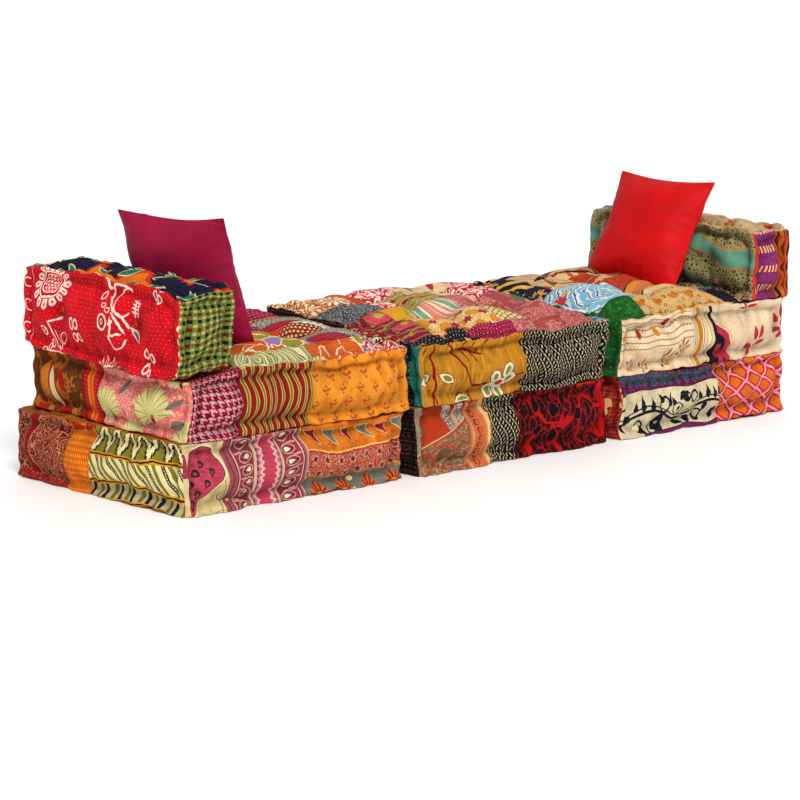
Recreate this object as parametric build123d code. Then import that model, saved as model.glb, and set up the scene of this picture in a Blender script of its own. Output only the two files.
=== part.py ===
"""Modular patchwork floor sofa, in millimetres.

Three seat modules stand side by side on the floor. Each is two block cushions, one on the other.
A block cushion on edge stands on each end as an arm, and a throw pillow leans on each arm.
X runs along the sofa, the front faces -Y, and the floor is Z = 0 under the middle of the sofa.
"""

from build123d import *
import os
from math import cos, radians, sin

# Seat modules: two block cushions of one footprint, one on the other
module_width = 700
module_depth = 600
module_gap = 49
base_height = 169
seat_height = 159

# Arm blocks: a cushion on its long edge, as long as the seat is deep
arm_thickness = 155
arm_height = 195

# Sewn covers of the block cushions
cover_wall = 3
corner_radius = 20
roll_height = 34
roll_width = 40
roll_crest_inset = 16
roll_groove = 8
corner_roll_width = 14
stitch_dip = 5
edge_draw_in = 4
band_bulge = 4
seat_crown = 18
crown_run = 80
pressed_run = 20
arm_crown = 8
arm_crown_run = 30

# Hand tufting: a cotton cord goes through the cushion, with a knot pulled down into each dimple
tuft_radius = 52
tuft_depth = 24
arm_tuft_radius = 34
arm_tuft_depth = 18
tuft_floor_radius = 9
cord_side = 4
knot_side = 11
knot_height = 6

# Throw pillows: two panels seamed all round, with a zip in the seam that they stand on
pillow_size = 340
pillow_half_thickness = 65
pillow_wall = 2
pillow_edge_draw_in = 14
seam_allowance = 12
pillow_corner_radius = 6
zip_length = 240
zip_depth = 8
zip_width = 4
zip_pull_length = 14
zip_pull_depth = 3
left_lean_deg = 20
right_lean_deg = 27
left_pillow_shift = -15
right_pillow_shift = 20

# Places along the sofa
pitch = module_width + module_gap
sofa_end = pitch + module_width / 2

# Clearances
rest_clearance = 0.3
lining_clearance = 0.4
cord_clearance = 0.3
zip_clearance = 0.2
overrun = 5

# Shapes as shares of the sizes above
roll_widest_share = 0.42
roll_shoulder_height_share = 0.12
roll_shoulder_inset_share = 0.3
band_bulge_shares = (0.34, 0.66)
crown_shares = ((0.62, 0.4), (1.0, 1.0))
pressed_foot_share = 0.8
tuft_grid_share = 1 / 6
arm_tuft_share = 0.24
knot_top_share = 0.6
pillow_dome_shares = ((0.0, 0.0), (0.36, 0.1), (0.72, 0.36), (0.93, 0.68), (1.0, 1.0))
pillow_plateau_share = 0.34
pillow_corner_share = 0.35
lining_cut_share = 0.3
fold_half_share = 0.3

# Facets: steps round a corner and along a side, sides of a dimple and a cord, and how flat a facet is
corner_steps = 3
side_steps = 3
pillow_side_steps = 6
tuft_sides = 8
cord_sides = 4
flatness = 0.000001


def inset_box(width, depth, inset, pressed_side=0, pressed_inset=0):
    """(x low, x high, y low, y high) of a footprint drawn in by inset, and by pressed_inset on one side."""
    low = pressed_inset if pressed_side < 0 else inset
    high = pressed_inset if pressed_side > 0 else inset
    return -width / 2 + low, width / 2 - high, -depth / 2 + inset, depth / 2 - inset


def side_points(start, end, bow, steps, fold, fold_width):
    """Points from start up to end, which is left out, bowed out to the right by a parabola.

    fold > 0 sinks a stitched groove of that depth next to each end, fold_width from it.
    """
    start, end = Vector(*start), Vector(*end)
    along = end - start
    out = Vector(along.Y, -along.X).normalized()
    stops = [(step / steps, 0) for step in range(steps)]
    if fold_width > 0:
        middle = fold_width / along.length
        half = middle * fold_half_share
        near = [(middle - half, 0), (middle, fold), (middle + half, 0)]
        far = [(1 - place, depth) for place, depth in reversed(near)]
        stops = stops[:1] + near + stops[1:] + far
    return [
        start + along * place + out * (bow * 4 * place * (1 - place) - depth)
        for place, depth in stops
    ]


def soft_ring(box, z, radius, bow, steps, rests=False, fold=0, fold_width=0):
    """Points of a rounded rectangle at height z, whose sides bow out (bow > 0) or draw in (bow < 0).

    rests keeps the low Y side from bowing out, because that side stands on something.
    """
    x0, x1, y0, y1 = box
    centres = (
        (x1 - radius, y0 + radius, -90), (x1 - radius, y1 - radius, 0),
        (x0 + radius, y1 - radius, 90), (x0 + radius, y0 + radius, 180),
    )
    corners = []
    for x, y, start_deg in centres:
        turns = [radians(start_deg + 90 * step / corner_steps) for step in range(corner_steps + 1)]
        corners.append([(x + radius * cos(turn), y + radius * sin(turn)) for turn in turns])
    points = []
    for number, corner in enumerate(corners):
        side_bow = min(bow, 0) if rests and number == 0 else bow
        points += side_points(corners[number - 1][-1], corner[0], side_bow, steps, fold, fold_width)
        points += [Vector(*point) for point in corner[:-1]]
    return [Vector(point.X, point.Y, z) for point in points]


def mitred_ring(box, z, cut):
    """Points of a rectangle with its corners cut off, at height z, for the inside of a cover."""
    x0, x1, y0, y1 = box
    return [
        Vector(x0 + cut, y0, z), Vector(x1 - cut, y0, z), Vector(x1, y0 + cut, z), Vector(x1, y1 - cut, z),
        Vector(x1 - cut, y1, z), Vector(x0 + cut, y1, z), Vector(x0, y1 - cut, z), Vector(x0, y0 + cut, z),
    ]


def regular_ring(side_count, radius, x, y, z):
    """Points of a regular polygon round (x, y) at height z, whose sides lie at radius."""
    reach = radius / cos(radians(180 / side_count))
    turns = [radians(360 * (step + 0.5) / side_count) for step in range(side_count)]
    return [Vector(x + reach * cos(turn), y + reach * sin(turn), z) for turn in turns]


def flat(*points):
    """A flat face with these corners."""
    return Face(Wire.make_polygon(points, close=True))


def skin(rings):
    """A solid of flat facets between the matching points of each ring and the next."""
    faces = [flat(*rings[0]), flat(*rings[-1])]
    for lower, upper in zip(rings, rings[1:]):
        for number in range(len(lower)):
            a, b = lower[number - 1], lower[number]
            c, d = upper[number], upper[number - 1]
            if abs((b - a).cross(c - a).normalized().dot(d - a)) < flatness:
                faces.append(flat(a, b, c, d))
            else:
                faces += [flat(a, b, c), flat(a, c, d)]
    return Solid(Shell(faces))


def prism(side_count, low_radius, low_z, high_radius, high_z, x, y):
    """A tapering prism of side_count sides that stands along Z at (x, y)."""
    low = regular_ring(side_count, low_radius, x, y, low_z)
    high = regular_ring(side_count, high_radius, x, y, high_z)
    return skin([low, high])


class BlockCushion:
    """A mattress-style cushion: two panels and a band with rolled edges, a filling and tufting cords.

    It is built lying down, with its footprint centred on Z and its underside at Z = 0.
    """

    def __init__(self, width, depth, height, crown, run, tufts, tuft_size, bottom_crown=0,
                 pressed_side=0, rests=False):
        self.width = width
        self.depth = depth
        self.height = height
        self.crown = crown
        self.bottom_crown = bottom_crown
        self.run = run
        self.tufts = tufts
        self.tuft_radius, self.tuft_depth = tuft_size
        self.pressed_side = pressed_side
        self.rests = rests

    def crown_steps(self, crown):
        """(rise, run) shares from the stitch line to the middle: one step where the panel lies flat."""
        return crown_shares if crown > 0 else crown_shares[-1:]

    def panel_profile(self, crown, pressed_side):
        """(height above the crest, inset, pressed inset, bow) from the widest line of the roll inwards."""
        widest = -roll_height * roll_widest_share
        pressed = pressed_side != 0
        foot = arm_thickness + rest_clearance if pressed else roll_width
        rows = [
            (widest, 0, 0, -edge_draw_in),
            (-roll_height * roll_shoulder_height_share, roll_crest_inset * roll_shoulder_inset_share,
             roll_crest_inset * roll_shoulder_inset_share, -edge_draw_in),
            (0, roll_crest_inset, roll_crest_inset, -edge_draw_in),
            (-stitch_dip, roll_width, roll_width, -edge_draw_in),
        ]
        if pressed:
            rows.append((-stitch_dip * pressed_foot_share, roll_width + stitch_dip, foot, -edge_draw_in))
        for rise_share, run_share in self.crown_steps(crown):
            rows.append((
                -stitch_dip + (stitch_dip + crown) * rise_share,
                roll_width + self.run * run_share,
                foot + (pressed_run if pressed else self.run) * run_share,
                -edge_draw_in,
            ))
        return rows

    def lining_profile(self, crown, pressed_side, gap):
        """The same for the face of the lining, which keeps gap inside the panel."""
        widest = -roll_height * roll_widest_share
        pressed = pressed_side != 0
        foot = arm_thickness + rest_clearance if pressed else roll_width
        drop = -stitch_dip - gap
        edge = gap + edge_draw_in
        rows = [
            (widest, edge, edge),
            (drop, roll_crest_inset + gap, roll_crest_inset + gap),
            (drop, roll_width + gap, foot + gap),
        ]
        for rise_share, run_share in self.crown_steps(crown):
            rows.append((
                -stitch_dip + (stitch_dip + crown) * rise_share - gap,
                roll_width + self.run * run_share + gap,
                foot + (pressed_run if pressed else self.run) * run_share + gap,
            ))
        return rows

    def panel_solid(self, top):
        """The outer shape of one panel, from the widest line of its roll to its middle."""
        crown = self.crown if top else self.bottom_crown
        pressed_side = self.pressed_side if top else 0
        rows = self.panel_profile(crown, pressed_side)
        rings = []
        for rise, inset, pressed_inset, bow in rows:
            z = self.height + rise if top else -rise
            box = inset_box(self.width, self.depth, inset, pressed_side, pressed_inset)
            rings.append(soft_ring(box, z, corner_radius, bow, side_steps, self.rests))
        return skin(rings)

    def lining_solid(self, top, gap):
        """The space inside one panel, gap inside its outer shape, without the tufts."""
        crown = self.crown if top else self.bottom_crown
        pressed_side = self.pressed_side if top else 0
        cut = corner_radius * lining_cut_share
        rings = []
        for rise, inset, pressed_inset in self.lining_profile(crown, pressed_side, gap):
            z = self.height + rise if top else -rise
            box = inset_box(self.width, self.depth, inset, pressed_side, pressed_inset)
            rings.append(mitred_ring(box, z, cut))
        return skin(rings)

    def crest(self, top):
        """Height of a panel's middle."""
        return self.height + self.crown if top else -self.bottom_crown

    def tuft_dimples(self, top):
        """The funnels that the cords pull into a panel."""
        inward = -1 if top else 1
        middle = self.crest(top)
        overshoot = -inward * overrun
        slope = (self.tuft_radius - tuft_floor_radius) / self.tuft_depth
        return [
            prism(tuft_sides, tuft_floor_radius, middle + inward * self.tuft_depth,
                  self.tuft_radius + slope * overrun, middle + overshoot, x, y)
            for x, y in self.tufts
        ]

    def lining_dimples(self, top, gap):
        """The four-sided funnels that stand into the lining round each dimple."""
        inward = -1 if top else 1
        middle = self.crest(top)
        tip = middle + inward * (self.tuft_depth + cover_wall + gap)
        mouth = middle + inward * gap
        hole = cord_side / 2 + cord_clearance
        mouth_radius = self.tuft_radius + gap
        slope = (mouth_radius - hole) / abs(mouth - tip)
        return [
            prism(cord_sides, hole, tip, mouth_radius + slope * overrun, mouth - inward * overrun, x, y)
            for x, y in self.tufts
        ]

    def cord_holes(self):
        """Square holes for the cords, right through the cushion."""
        hole = cord_side / 2 + cord_clearance
        low = self.crest(False) - overrun
        high = self.crest(True) + overrun
        return [prism(cord_sides, hole, low, hole, high, x, y) for x, y in self.tufts]

    def panel(self, top):
        """One sewn panel: a wall with its rolled edge, its dimples and the cord holes."""
        space = self.lining_solid(top, cover_wall) - self.lining_dimples(top, cover_wall)
        return self.panel_solid(top) - space - self.tuft_dimples(top) - self.cord_holes()

    def side_band(self):
        """The boxing between the two rolls, with a roll down each corner and a bulge between them."""
        widest = roll_height * roll_widest_share
        low_bulge, high_bulge = band_bulge_shares
        rows = (
            (widest, 0, -edge_draw_in, 0),
            (roll_height, roll_groove, -edge_draw_in, 0),
            (self.height * low_bulge, 0, band_bulge, roll_groove),
            (self.height * high_bulge, 0, band_bulge, roll_groove),
            (self.height - roll_height, roll_groove, -edge_draw_in, 0),
            (self.height - widest, 0, -edge_draw_in, 0),
        )
        rings = []
        for z, inset, bow, fold in rows:
            box = inset_box(self.width, self.depth, inset)
            rings.append(soft_ring(box, z, corner_radius, bow, side_steps, self.rests, fold,
                                   corner_roll_width))
        return skin(rings) - self.band_space(roll_groove + edge_draw_in + cover_wall)

    def band_space(self, inset):
        """The space inside the band, straight from one panel to the other."""
        widest = roll_height * roll_widest_share
        box = inset_box(self.width, self.depth, inset)
        cut = corner_radius * lining_cut_share
        return skin([mitred_ring(box, z, cut) for z in (widest, self.height - widest)])

    def filling(self):
        """Cotton wadding that fills the cover, dented by the tufts, with a hole for each cord."""
        gap = cover_wall + lining_clearance
        core = self.band_space(roll_groove + edge_draw_in + gap)
        for top in (False, True):
            core += self.lining_solid(top, gap)
        for top in (False, True):
            core -= self.lining_dimples(top, gap)
        return core - self.cord_holes()

    def tuft_ties(self):
        """A square cord and its two knots for each tuft."""
        shaft = cord_side / 2
        knot = knot_side / 2
        ties = []
        for x, y in self.tufts:
            tie = None
            for top in (False, True):
                inward = -1 if top else 1
                floor = self.crest(top) + inward * (self.tuft_depth - cord_clearance)
                tip = floor - inward * knot_height
                end = prism(cord_sides, knot, floor, knot * knot_top_share, tip, x, y)
                tie = end if tie is None else tie + end
            low = self.crest(False) + self.tuft_depth
            high = self.crest(True) - self.tuft_depth
            tie += prism(cord_sides, shaft, low - cord_clearance, shaft, high + cord_clearance, x, y)
            ties.append(tie)
        return ties

    def pieces(self):
        """Every piece of the cushion by name, lying down."""
        return {
            "top_panel": self.panel(True),
            "side_band": self.side_band(),
            "bottom_panel": self.panel(False),
            "filling": self.filling(),
            "tuft_ties": self.tuft_ties(),
        }


def seat_tufts():
    """Four tufts at the thirds of a seat cushion."""
    x = module_width * tuft_grid_share
    y = module_depth * tuft_grid_share
    return [(sx * x, sy * y) for sx in (-1, 1) for sy in (-1, 1)]


def arm_tufts():
    """Two tufts along an arm block."""
    x = module_depth * arm_tuft_share
    return [(-x, 0), (x, 0)]


def pillow_box(inset):
    """Half footprint of a pillow drawn in by inset."""
    return inset_box(pillow_size, pillow_size, inset)


def pillow_rows():
    """(height, inset, share of the way in) from the seam to the middle of a pillow's face."""
    travel = pillow_size / 2 * (1 - pillow_plateau_share)
    return [(pillow_half_thickness * rise, travel * run, run) for rise, run in pillow_dome_shares]


def pillow_half(front):
    """The outer shape of one half of a pillow: knife edge, drawn-in sides, ears and dome."""
    facing = 1 if front else -1
    rings = []
    for z, inset, run in pillow_rows():
        radius = pillow_corner_radius + (pillow_size / 2 - inset) * pillow_corner_share * run ** 0.5
        bow = -pillow_edge_draw_in * (1 - run)
        rings.append(soft_ring(pillow_box(inset), facing * z, radius, bow, pillow_side_steps))
    return skin(rings)


def pillow_space(front, gap):
    """The space inside one half, gap inside the panel."""
    facing = 1 if front else -1
    first = seam_allowance + pillow_edge_draw_in + gap
    rings = [mitred_ring(pillow_box(first), 0, pillow_size / 2 * lining_cut_share)]
    for z, inset, run in pillow_rows()[1:]:
        drawn = inset + gap * 2 + pillow_edge_draw_in * (1 - run)
        cut = (pillow_size / 2 - inset) * lining_cut_share
        rings.append(mitred_ring(pillow_box(drawn), facing * (z - gap), cut))
    return skin(rings)


def zip_slot(clearance):
    """The slot in the lower seam where the zip is sewn in, less clearance on every side."""
    length = zip_length - clearance * 2
    top = -pillow_size / 2 + pillow_edge_draw_in + zip_depth - clearance
    low = -pillow_size / 2 - overrun
    width = zip_width - clearance * 2
    return Pos(0, (top + low) / 2, 0) * Box(length, top - low, width)


def zip_piece():
    """The zip's tape and teeth along the seam, with its pull tab."""
    whole = pillow_half(True) + pillow_half(False)
    tape = whole & zip_slot(zip_clearance)
    edge = -pillow_size / 2 + pillow_edge_draw_in
    pull_x = zip_length / 2 - zip_pull_length
    pull = Pos(pull_x, edge, 0) * Box(zip_pull_length, zip_pull_depth, zip_width - zip_clearance * 2)
    return tape + pull


def pillow_pieces():
    """Every piece of a throw pillow, lying flat with its lower seam at low Y."""
    insert = pillow_space(True, pillow_wall + lining_clearance)
    insert += pillow_space(False, pillow_wall + lining_clearance)
    pieces = {"insert": insert, "zip": zip_piece()}
    for name, front in (("front_panel", True), ("back_panel", False)):
        pieces[name] = pillow_half(front) - pillow_space(front, pillow_wall) - zip_slot(0)
    return pieces


def save(name, piece, place):
    """Writes one sub-part, or a group of like ones, to its own file."""
    solids = piece if isinstance(piece, list) else [piece]
    moved = [place * solid for solid in solids]
    shape = moved[0] if len(moved) == 1 else Compound(children=moved)
    export_step(shape, os.path.join("parts", name + ".step"))


def base_cushion():
    """The cushion on the floor, flat on top under the seat cushion."""
    return BlockCushion(module_width, module_depth, base_height, 0, crown_run, seat_tufts(),
                        (tuft_radius, tuft_depth))


def seat_cushion(pressed_side):
    """The cushion that is sat on, crowned, and pressed flat at one end where an arm stands on it."""
    return BlockCushion(module_width, module_depth, seat_height, seat_crown, crown_run, seat_tufts(),
                        (tuft_radius, tuft_depth), pressed_side=pressed_side)


def save_cushion(name, pieces, place):
    """Writes every piece of one cushion under the cushion's name."""
    for piece_name, piece in pieces.items():
        save(f"{name}_{piece_name}", piece, place)


def arm_place(side_sign):
    """Stands an arm block on its long edge, with its top panel outside, flush with the sofa's end."""
    z = base_height + seat_height + rest_clearance * 2 + arm_height / 2
    foot = (side_sign * (sofa_end - arm_thickness), 0, z)
    return Plane(origin=foot, x_dir=(0, side_sign, 0), z_dir=(side_sign, 0, 0)).location


def arm_cushion():
    """An arm block: a narrow block cushion, tufted through its thickness."""
    return BlockCushion(module_depth, arm_height, arm_thickness, arm_crown, arm_crown_run, arm_tufts(),
                        (arm_tuft_radius, arm_tuft_depth), bottom_crown=arm_crown, rests=True)


def pillow_place(side_sign, lean_deg, shift):
    """Leans a pillow's back on the roll of an arm, with its lower seam on the seat."""
    up_x, up_z = sin(radians(lean_deg)), cos(radians(lean_deg))
    edge_x = sofa_end - arm_thickness
    arm_top = base_height + seat_height + rest_clearance * 2 + arm_height
    arm = arm_cushion()
    touch = max(
        (arm_top - inset + bow) * up_x - (edge_x - rise) * up_z
        for rise, inset, _, bow in arm.panel_profile(arm_crown, 0)
    )
    seam_plane = touch + rest_clearance + pillow_half_thickness
    hang = max(z * up_x - inset * up_z for z, inset, _ in pillow_rows())
    foot_z = base_height + seat_height + rest_clearance * 2 + seat_crown + max(hang, 0)
    foot_x = (foot_z * up_x - seam_plane) / up_z
    middle = (side_sign * (foot_x + pillow_size / 2 * up_x), shift, foot_z + pillow_size / 2 * up_z)
    facing = (-side_sign * up_z, 0, up_x)
    return Plane(origin=middle, x_dir=(0, -side_sign, 0), z_dir=facing).location


os.makedirs("parts", exist_ok=True)
base_pieces = base_cushion().pieces()
for module_name, module_side in (("left", -1), ("middle", 0), ("right", 1)):
    save_cushion("base_" + module_name, base_pieces, Pos(module_side * pitch, 0, 0))
    seat_place = Pos(module_side * pitch, 0, base_height + rest_clearance)
    save_cushion("seat_" + module_name, seat_cushion(module_side).pieces(), seat_place)

arm_pieces = arm_cushion().pieces()
pillow = pillow_pieces()
sides = (("left", -1, left_lean_deg, left_pillow_shift), ("right", 1, right_lean_deg, right_pillow_shift))
for side_name, side_sign, lean_deg, shift in sides:
    save_cushion("arm_" + side_name, arm_pieces, arm_place(side_sign))
    save_cushion("pillow_" + side_name, pillow, pillow_place(side_sign, lean_deg, shift))
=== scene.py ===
"""Modular patchwork floor sofa: three stacks of two block cushions, two arm blocks and two throw pillows.

Lengths are metres in the row's frame. Cloth patterns are written in centimetres of cloth.
"""

from math import radians

import bpy
import numpy as np
from mathutils import Matrix, Vector


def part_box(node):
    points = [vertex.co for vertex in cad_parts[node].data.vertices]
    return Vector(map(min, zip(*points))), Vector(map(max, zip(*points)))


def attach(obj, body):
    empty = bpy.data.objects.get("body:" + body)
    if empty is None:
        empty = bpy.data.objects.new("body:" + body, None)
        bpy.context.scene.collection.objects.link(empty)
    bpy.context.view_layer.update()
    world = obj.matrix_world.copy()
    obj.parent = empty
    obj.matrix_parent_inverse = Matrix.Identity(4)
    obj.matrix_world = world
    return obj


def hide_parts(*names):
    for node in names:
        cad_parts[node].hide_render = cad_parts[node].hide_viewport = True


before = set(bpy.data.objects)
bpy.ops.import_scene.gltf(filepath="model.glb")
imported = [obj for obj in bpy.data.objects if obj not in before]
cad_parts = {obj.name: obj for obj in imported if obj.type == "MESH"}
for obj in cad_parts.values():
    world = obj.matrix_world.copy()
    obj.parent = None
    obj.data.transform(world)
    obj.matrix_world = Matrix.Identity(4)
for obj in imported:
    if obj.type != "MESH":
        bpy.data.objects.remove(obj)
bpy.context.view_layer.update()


# The rags. Each is a piece of worn printed or woven cotton, cut from old saris and quilts.
# Many were quilted by hand, so rows of small running stitches cross them, and the dye has faded.
# A rag's pattern lies on its own patch, in centimetres from the patch's left bottom corner.

class Wire:
    """A socket of a rag's shader. Sums on wires and numbers add Math nodes to its tree."""

    def __init__(self, tree, socket):
        self.tree = tree
        self.socket = socket

    def node(self, kind, inputs=(), out=0, stops=None, **settings):
        """The output of a new node of this kind: settings and stops first, then its sockets."""
        made = self.tree.nodes.new("ShaderNode" + kind)
        for key, value in settings.items():
            setattr(made, key, value)
        if stops:
            while len(made.color_ramp.elements) < len(stops):
                made.color_ramp.elements.new(1.0)
            for element, (place, colour) in zip(made.color_ramp.elements, stops):
                element.position = place
                element.color = colour
        for key, value in inputs.items() if isinstance(inputs, dict) else enumerate(inputs):
            if isinstance(value, Wire):
                self.tree.links.new(value.socket, made.inputs[key])
            else:
                made.inputs[key].default_value = value
        return Wire(self.tree, made.outputs[out] if made.outputs else None)

    def maths(self, operation, *others):
        return self.node("Math", (self, *others), operation=operation)

    def __add__(self, other):
        return self.maths("ADD", other)

    def __sub__(self, other):
        return self.maths("SUBTRACT", other)

    def __rsub__(self, other):
        return self.node("Math", (other, self), operation="SUBTRACT")

    def __mul__(self, other):
        return self.maths("MULTIPLY", other)

    def __truediv__(self, other):
        return self.maths("DIVIDE", other)

    def __mod__(self, other):
        return self.maths("FLOORED_MODULO", other)

    def __lt__(self, other):
        return self.maths("LESS_THAN", other)

    def __gt__(self, other):
        return self.maths("GREATER_THAN", other)

    def __or__(self, other):
        return self.maths("MAXIMUM", other)

    def __and__(self, other):
        return self.maths("MULTIPLY", other)

    def __abs__(self):
        return self.maths("ABSOLUTE")

    def __pow__(self, power):
        return self.maths("POWER", power)

    __radd__ = __add__
    __rmul__ = __mul__

    def sin(self):
        return self.maths("SINE")

    def floor(self):
        return self.maths("FLOOR")

    def vector(self, operation, *others, out=0):
        return self.node("VectorMath", (self, *others), out=out, operation=operation)

    def axis(self, number):
        return self.node("SeparateXYZ", (self,), out=number)

    def beyond(self):
        """Distance of a place from its origin."""
        return self.vector("LENGTH", out=1)

    def at(self, x, y, turn=0, wide=1, tall=1):
        """The place as seen from (x, y), turned, in units of wide and tall."""
        inputs = {"Vector": self, "Location": (x, y, 0), "Rotation": (0, 0, radians(turn)),
                  "Scale": (wide, tall, 1)}
        return self.node("Mapping", inputs, vector_type="TEXTURE")

    def oval(self, x, y, wide, tall, turn=0):
        """1 inside an oval of these half sizes."""
        return self.at(x, y, turn, wide, tall).beyond() < 1

    def ring(self, x, y, radius, width, turn=0, tall=1):
        """1 on a ring of this radius and width."""
        return abs(self.at(x, y, turn, 1, tall).beyond() - radius) < width / 2

    def band(self, low, high):
        """1 where the number lies between low and high."""
        return (self > low) & (self < high)

    def near(self, middle, width):
        """1 on a line of this width round a value."""
        return abs(self - middle) < width / 2

    def zigzag(self, period, reach):
        """A triangle wave between 0 and reach."""
        return abs((self / period) % 1 - 0.5) * (2 * reach)

    def wave(self, period, reach, turn=0.0):
        """A sine wave between minus and plus reach."""
        return (self * (2 * np.pi / period) + turn).sin() * reach

    def any_of(self, shape, *rows):
        """1 inside any of the shapes of this kind, given one row of measures for each."""
        marks = shape(self, *rows[0])
        for row in rows[1:]:
            marks = marks | shape(self, *row)
        return marks

    def leaf(self, x, y, long, wide, turn=0):
        """1 inside a leaf pointed at both ends."""
        own = self.at(x, y, turn, long / 2, wide / 2)
        along = own.axis(0)
        return abs(own.axis(1)) < 1 - along * along

    def drop(self, x, y, long, wide, turn=0):
        """1 inside a drop whose tip points back along turn."""
        own = self.at(x, y, turn, long / 2, wide / 2)
        along, beside = own.axis(0), own.axis(1)
        blunt = (1 - along * along) * (along + 1) * (along + 1) * 0.593
        return beside * beside < blunt

    def stroke(self, x, y, x_end, y_end, width):
        """1 on a straight stroke between two places, tapered at its ends."""
        long = np.hypot(x_end - x, y_end - y)
        turn = np.degrees(np.arctan2(y_end - y, x_end - x))
        own = self.at((x + x_end) / 2, (y + y_end) / 2, turn, long / 2, width / 2)
        along = own.axis(0)
        return abs(own.axis(1)) < 1.15 - along ** 8

    def tiles(self, size, feature="DISTANCE_TO_EDGE", out=0):
        """Distance to the edge of irregular cells, in shares of the cell, or a colour for each."""
        inputs = {"Vector": self, "Scale": 1 / size}
        return self.node("TexVoronoi", inputs, out=out, voronoi_dimensions="2D", feature=feature)

    def petals(self, count, inner, outer, turn=0):
        """1 inside a flower round the origin, whose edge swings between inner and outer count times."""
        angle = self.node("TexGradient", (self,), out=1, gradient_type="RADIAL")
        swing = (angle * (2 * np.pi * count) + turn).maths("COSINE")
        return self.beyond() < swing * ((outer - inner) / 2) + (outer + inner) / 2

    def cells(self, wide, tall, shift=0.5):
        """(place in its cell from the cell's middle, cell): cells of this size, each row moved by shift."""
        scaled = self.vector("DIVIDE", (wide, tall, 1))
        row = scaled.axis(1).floor()
        moved = scaled.vector("ADD", self.node("CombineXYZ", (row * shift,)))
        cell = moved.vector("FLOOR")
        inside = moved.vector("SUBTRACT", cell).vector("SUBTRACT", (0.5, 0.5, 0))
        return inside.vector("MULTIPLY", (wide, tall, 0)), cell

    def cell(self, wide, tall, shift=0.5):
        """The place in its cell only."""
        return self.cells(wide, tall, shift)[0]

    def noise(self, size, detail=1.0, out=0):
        """Soft noise with lumps of about this size."""
        inputs = {"Vector": self, "Scale": 1 / size, "Detail": detail}
        return self.node("TexNoise", inputs, out=out, noise_dimensions="2D")

    def shaken(self, size, reach):
        """The place pushed about by soft noise, as hand printing does."""
        push = self.noise(size, out=1).vector("SUBTRACT", (0.5, 0.5, 0.5))
        return self.vector("ADD", push.vector("MULTIPLY", (2 * reach, 2 * reach, 0)))

    def scribble(self, size, lines, width, seed=0.0):
        """1 on curling lines: the contour lines of soft noise."""
        field = self.vector("ADD", (seed, seed, 0)).noise(size, 0.0) * lines
        return abs(field % 1 - 0.5) < width

    def stripes(self, period, *bands):
        """The colour of repeated bands, given as (share of the period where it starts, colour)."""
        stops = [(start, dye(colour)) for start, colour in bands]
        made = (self / period) % 1
        ramp = made.node("ValToRGB", (made,), stops=stops)
        ramp.socket.node.color_ramp.interpolation = "CONSTANT"
        return ramp

    def mixed(self, factor, other):
        """This colour where factor is 0, and the other where it is 1."""
        inputs = {0: factor, 6: self, 7: other if isinstance(other, Wire) else dye(other)}
        return self.node("Mix", inputs, out=2, data_type="RGBA")


def dye(code):
    """The colour that a hex code gives, in linear light."""
    parts = [int(code[start:start + 2], 16) / 255 for start in (0, 2, 4)]
    return [*(part / 12.92 if part < 0.04045 else ((part + 0.055) / 1.055) ** 2.4 for part in parts), 1]


rags = {}


class Rag:
    """A cloth in the making: a ground colour, with prints laid over it one after the other."""

    def __init__(self, name, ground):
        self.material = bpy.data.materials.new(name)
        self.material.use_nodes = True
        self.tree = self.material.node_tree
        self.tree.nodes.clear()
        start = Wire(self.tree, None)
        self.place = start.node("UVMap", uv_map="cloth")
        self.u = self.place.axis(0)
        self.v = self.place.axis(1)
        self.colour = start.node("RGB")
        self.colour.socket.default_value = dye(ground)

    def lay(self, mask, colour):
        """Prints a colour where mask is 1."""
        self.colour = self.colour.mixed(mask, colour)

    def mottle(self, size, detail, level, colour):
        """Stains a colour into the rag in lumps of about this size, where soft noise is above the level."""
        self.lay(self.place.noise(size, detail) > level, colour)

    def sew(self, quilting=0.0, thread="efe3cf", pitch=0.9, roughness=0.86, weave=0.16):
        """Fades the dye, paints shade into the folds (darker colour where the fold_shade attribute is high),
        adds weave, creases and rows of running stitch, and wires the shader.
        """
        place = self.place
        wear_and_painted_shade = place.noise(9.0, 2.0) * 0.4 + place.noise(0.35, 2.0) * 0.4 + 0.62
        yarn = (self.u * 38).sin() & (self.v * 38).sin()
        height = yarn * weave + place.noise(1.6, 2.0) * 0.9
        colour = self.colour
        if quilting:
            row = self.v / pitch
            line = abs(row % 1 - 0.5)
            dash = ((self.u / 0.62 + (row.floor() * 0.37)) % 1) < 0.5
            stitch = (line < 0.07) & dash
            colour = colour.mixed(stitch * (0.6 * quilting), thread)
            height = height - (line < 0.2) * 0.35 + stitch * 0.3
        # Painted shade: the colour is darkened by up to half where the fold_shade attribute marks grooves,
        # folds, seams and dimples.
        fold = wear_and_painted_shade.node("Attribute", out=2, attribute_name="fold_shade")
        wear_and_painted_shade = wear_and_painted_shade * (1 - fold * 0.5)
        gain = wear_and_painted_shade.node("CombineXYZ", (wear_and_painted_shade, wear_and_painted_shade, wear_and_painted_shade))
        colour = wear_and_painted_shade.node("Gamma", (colour.vector("MULTIPLY", gain), 1.22))
        bump = height.node("Bump", {"Height": height, "Distance": 0.001, "Strength": 0.75})
        shader = height.node("BsdfPrincipled", {
            "Base Color": colour, "Normal": bump, "Roughness": roughness, "Specular IOR Level": 0.12,
        })
        shader.node("OutputMaterial", (shader,))
        rags[self.material.name] = self.material


# The block cushions. Each is a cotton-stuffed mattress of two panels and a boxing band.
# A stitched line beside every edge holds a firm roll of wadding, puckered at each stitch.
# Cords pulled right through make the dimples, and the rags meet in low stitched seams.

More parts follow.
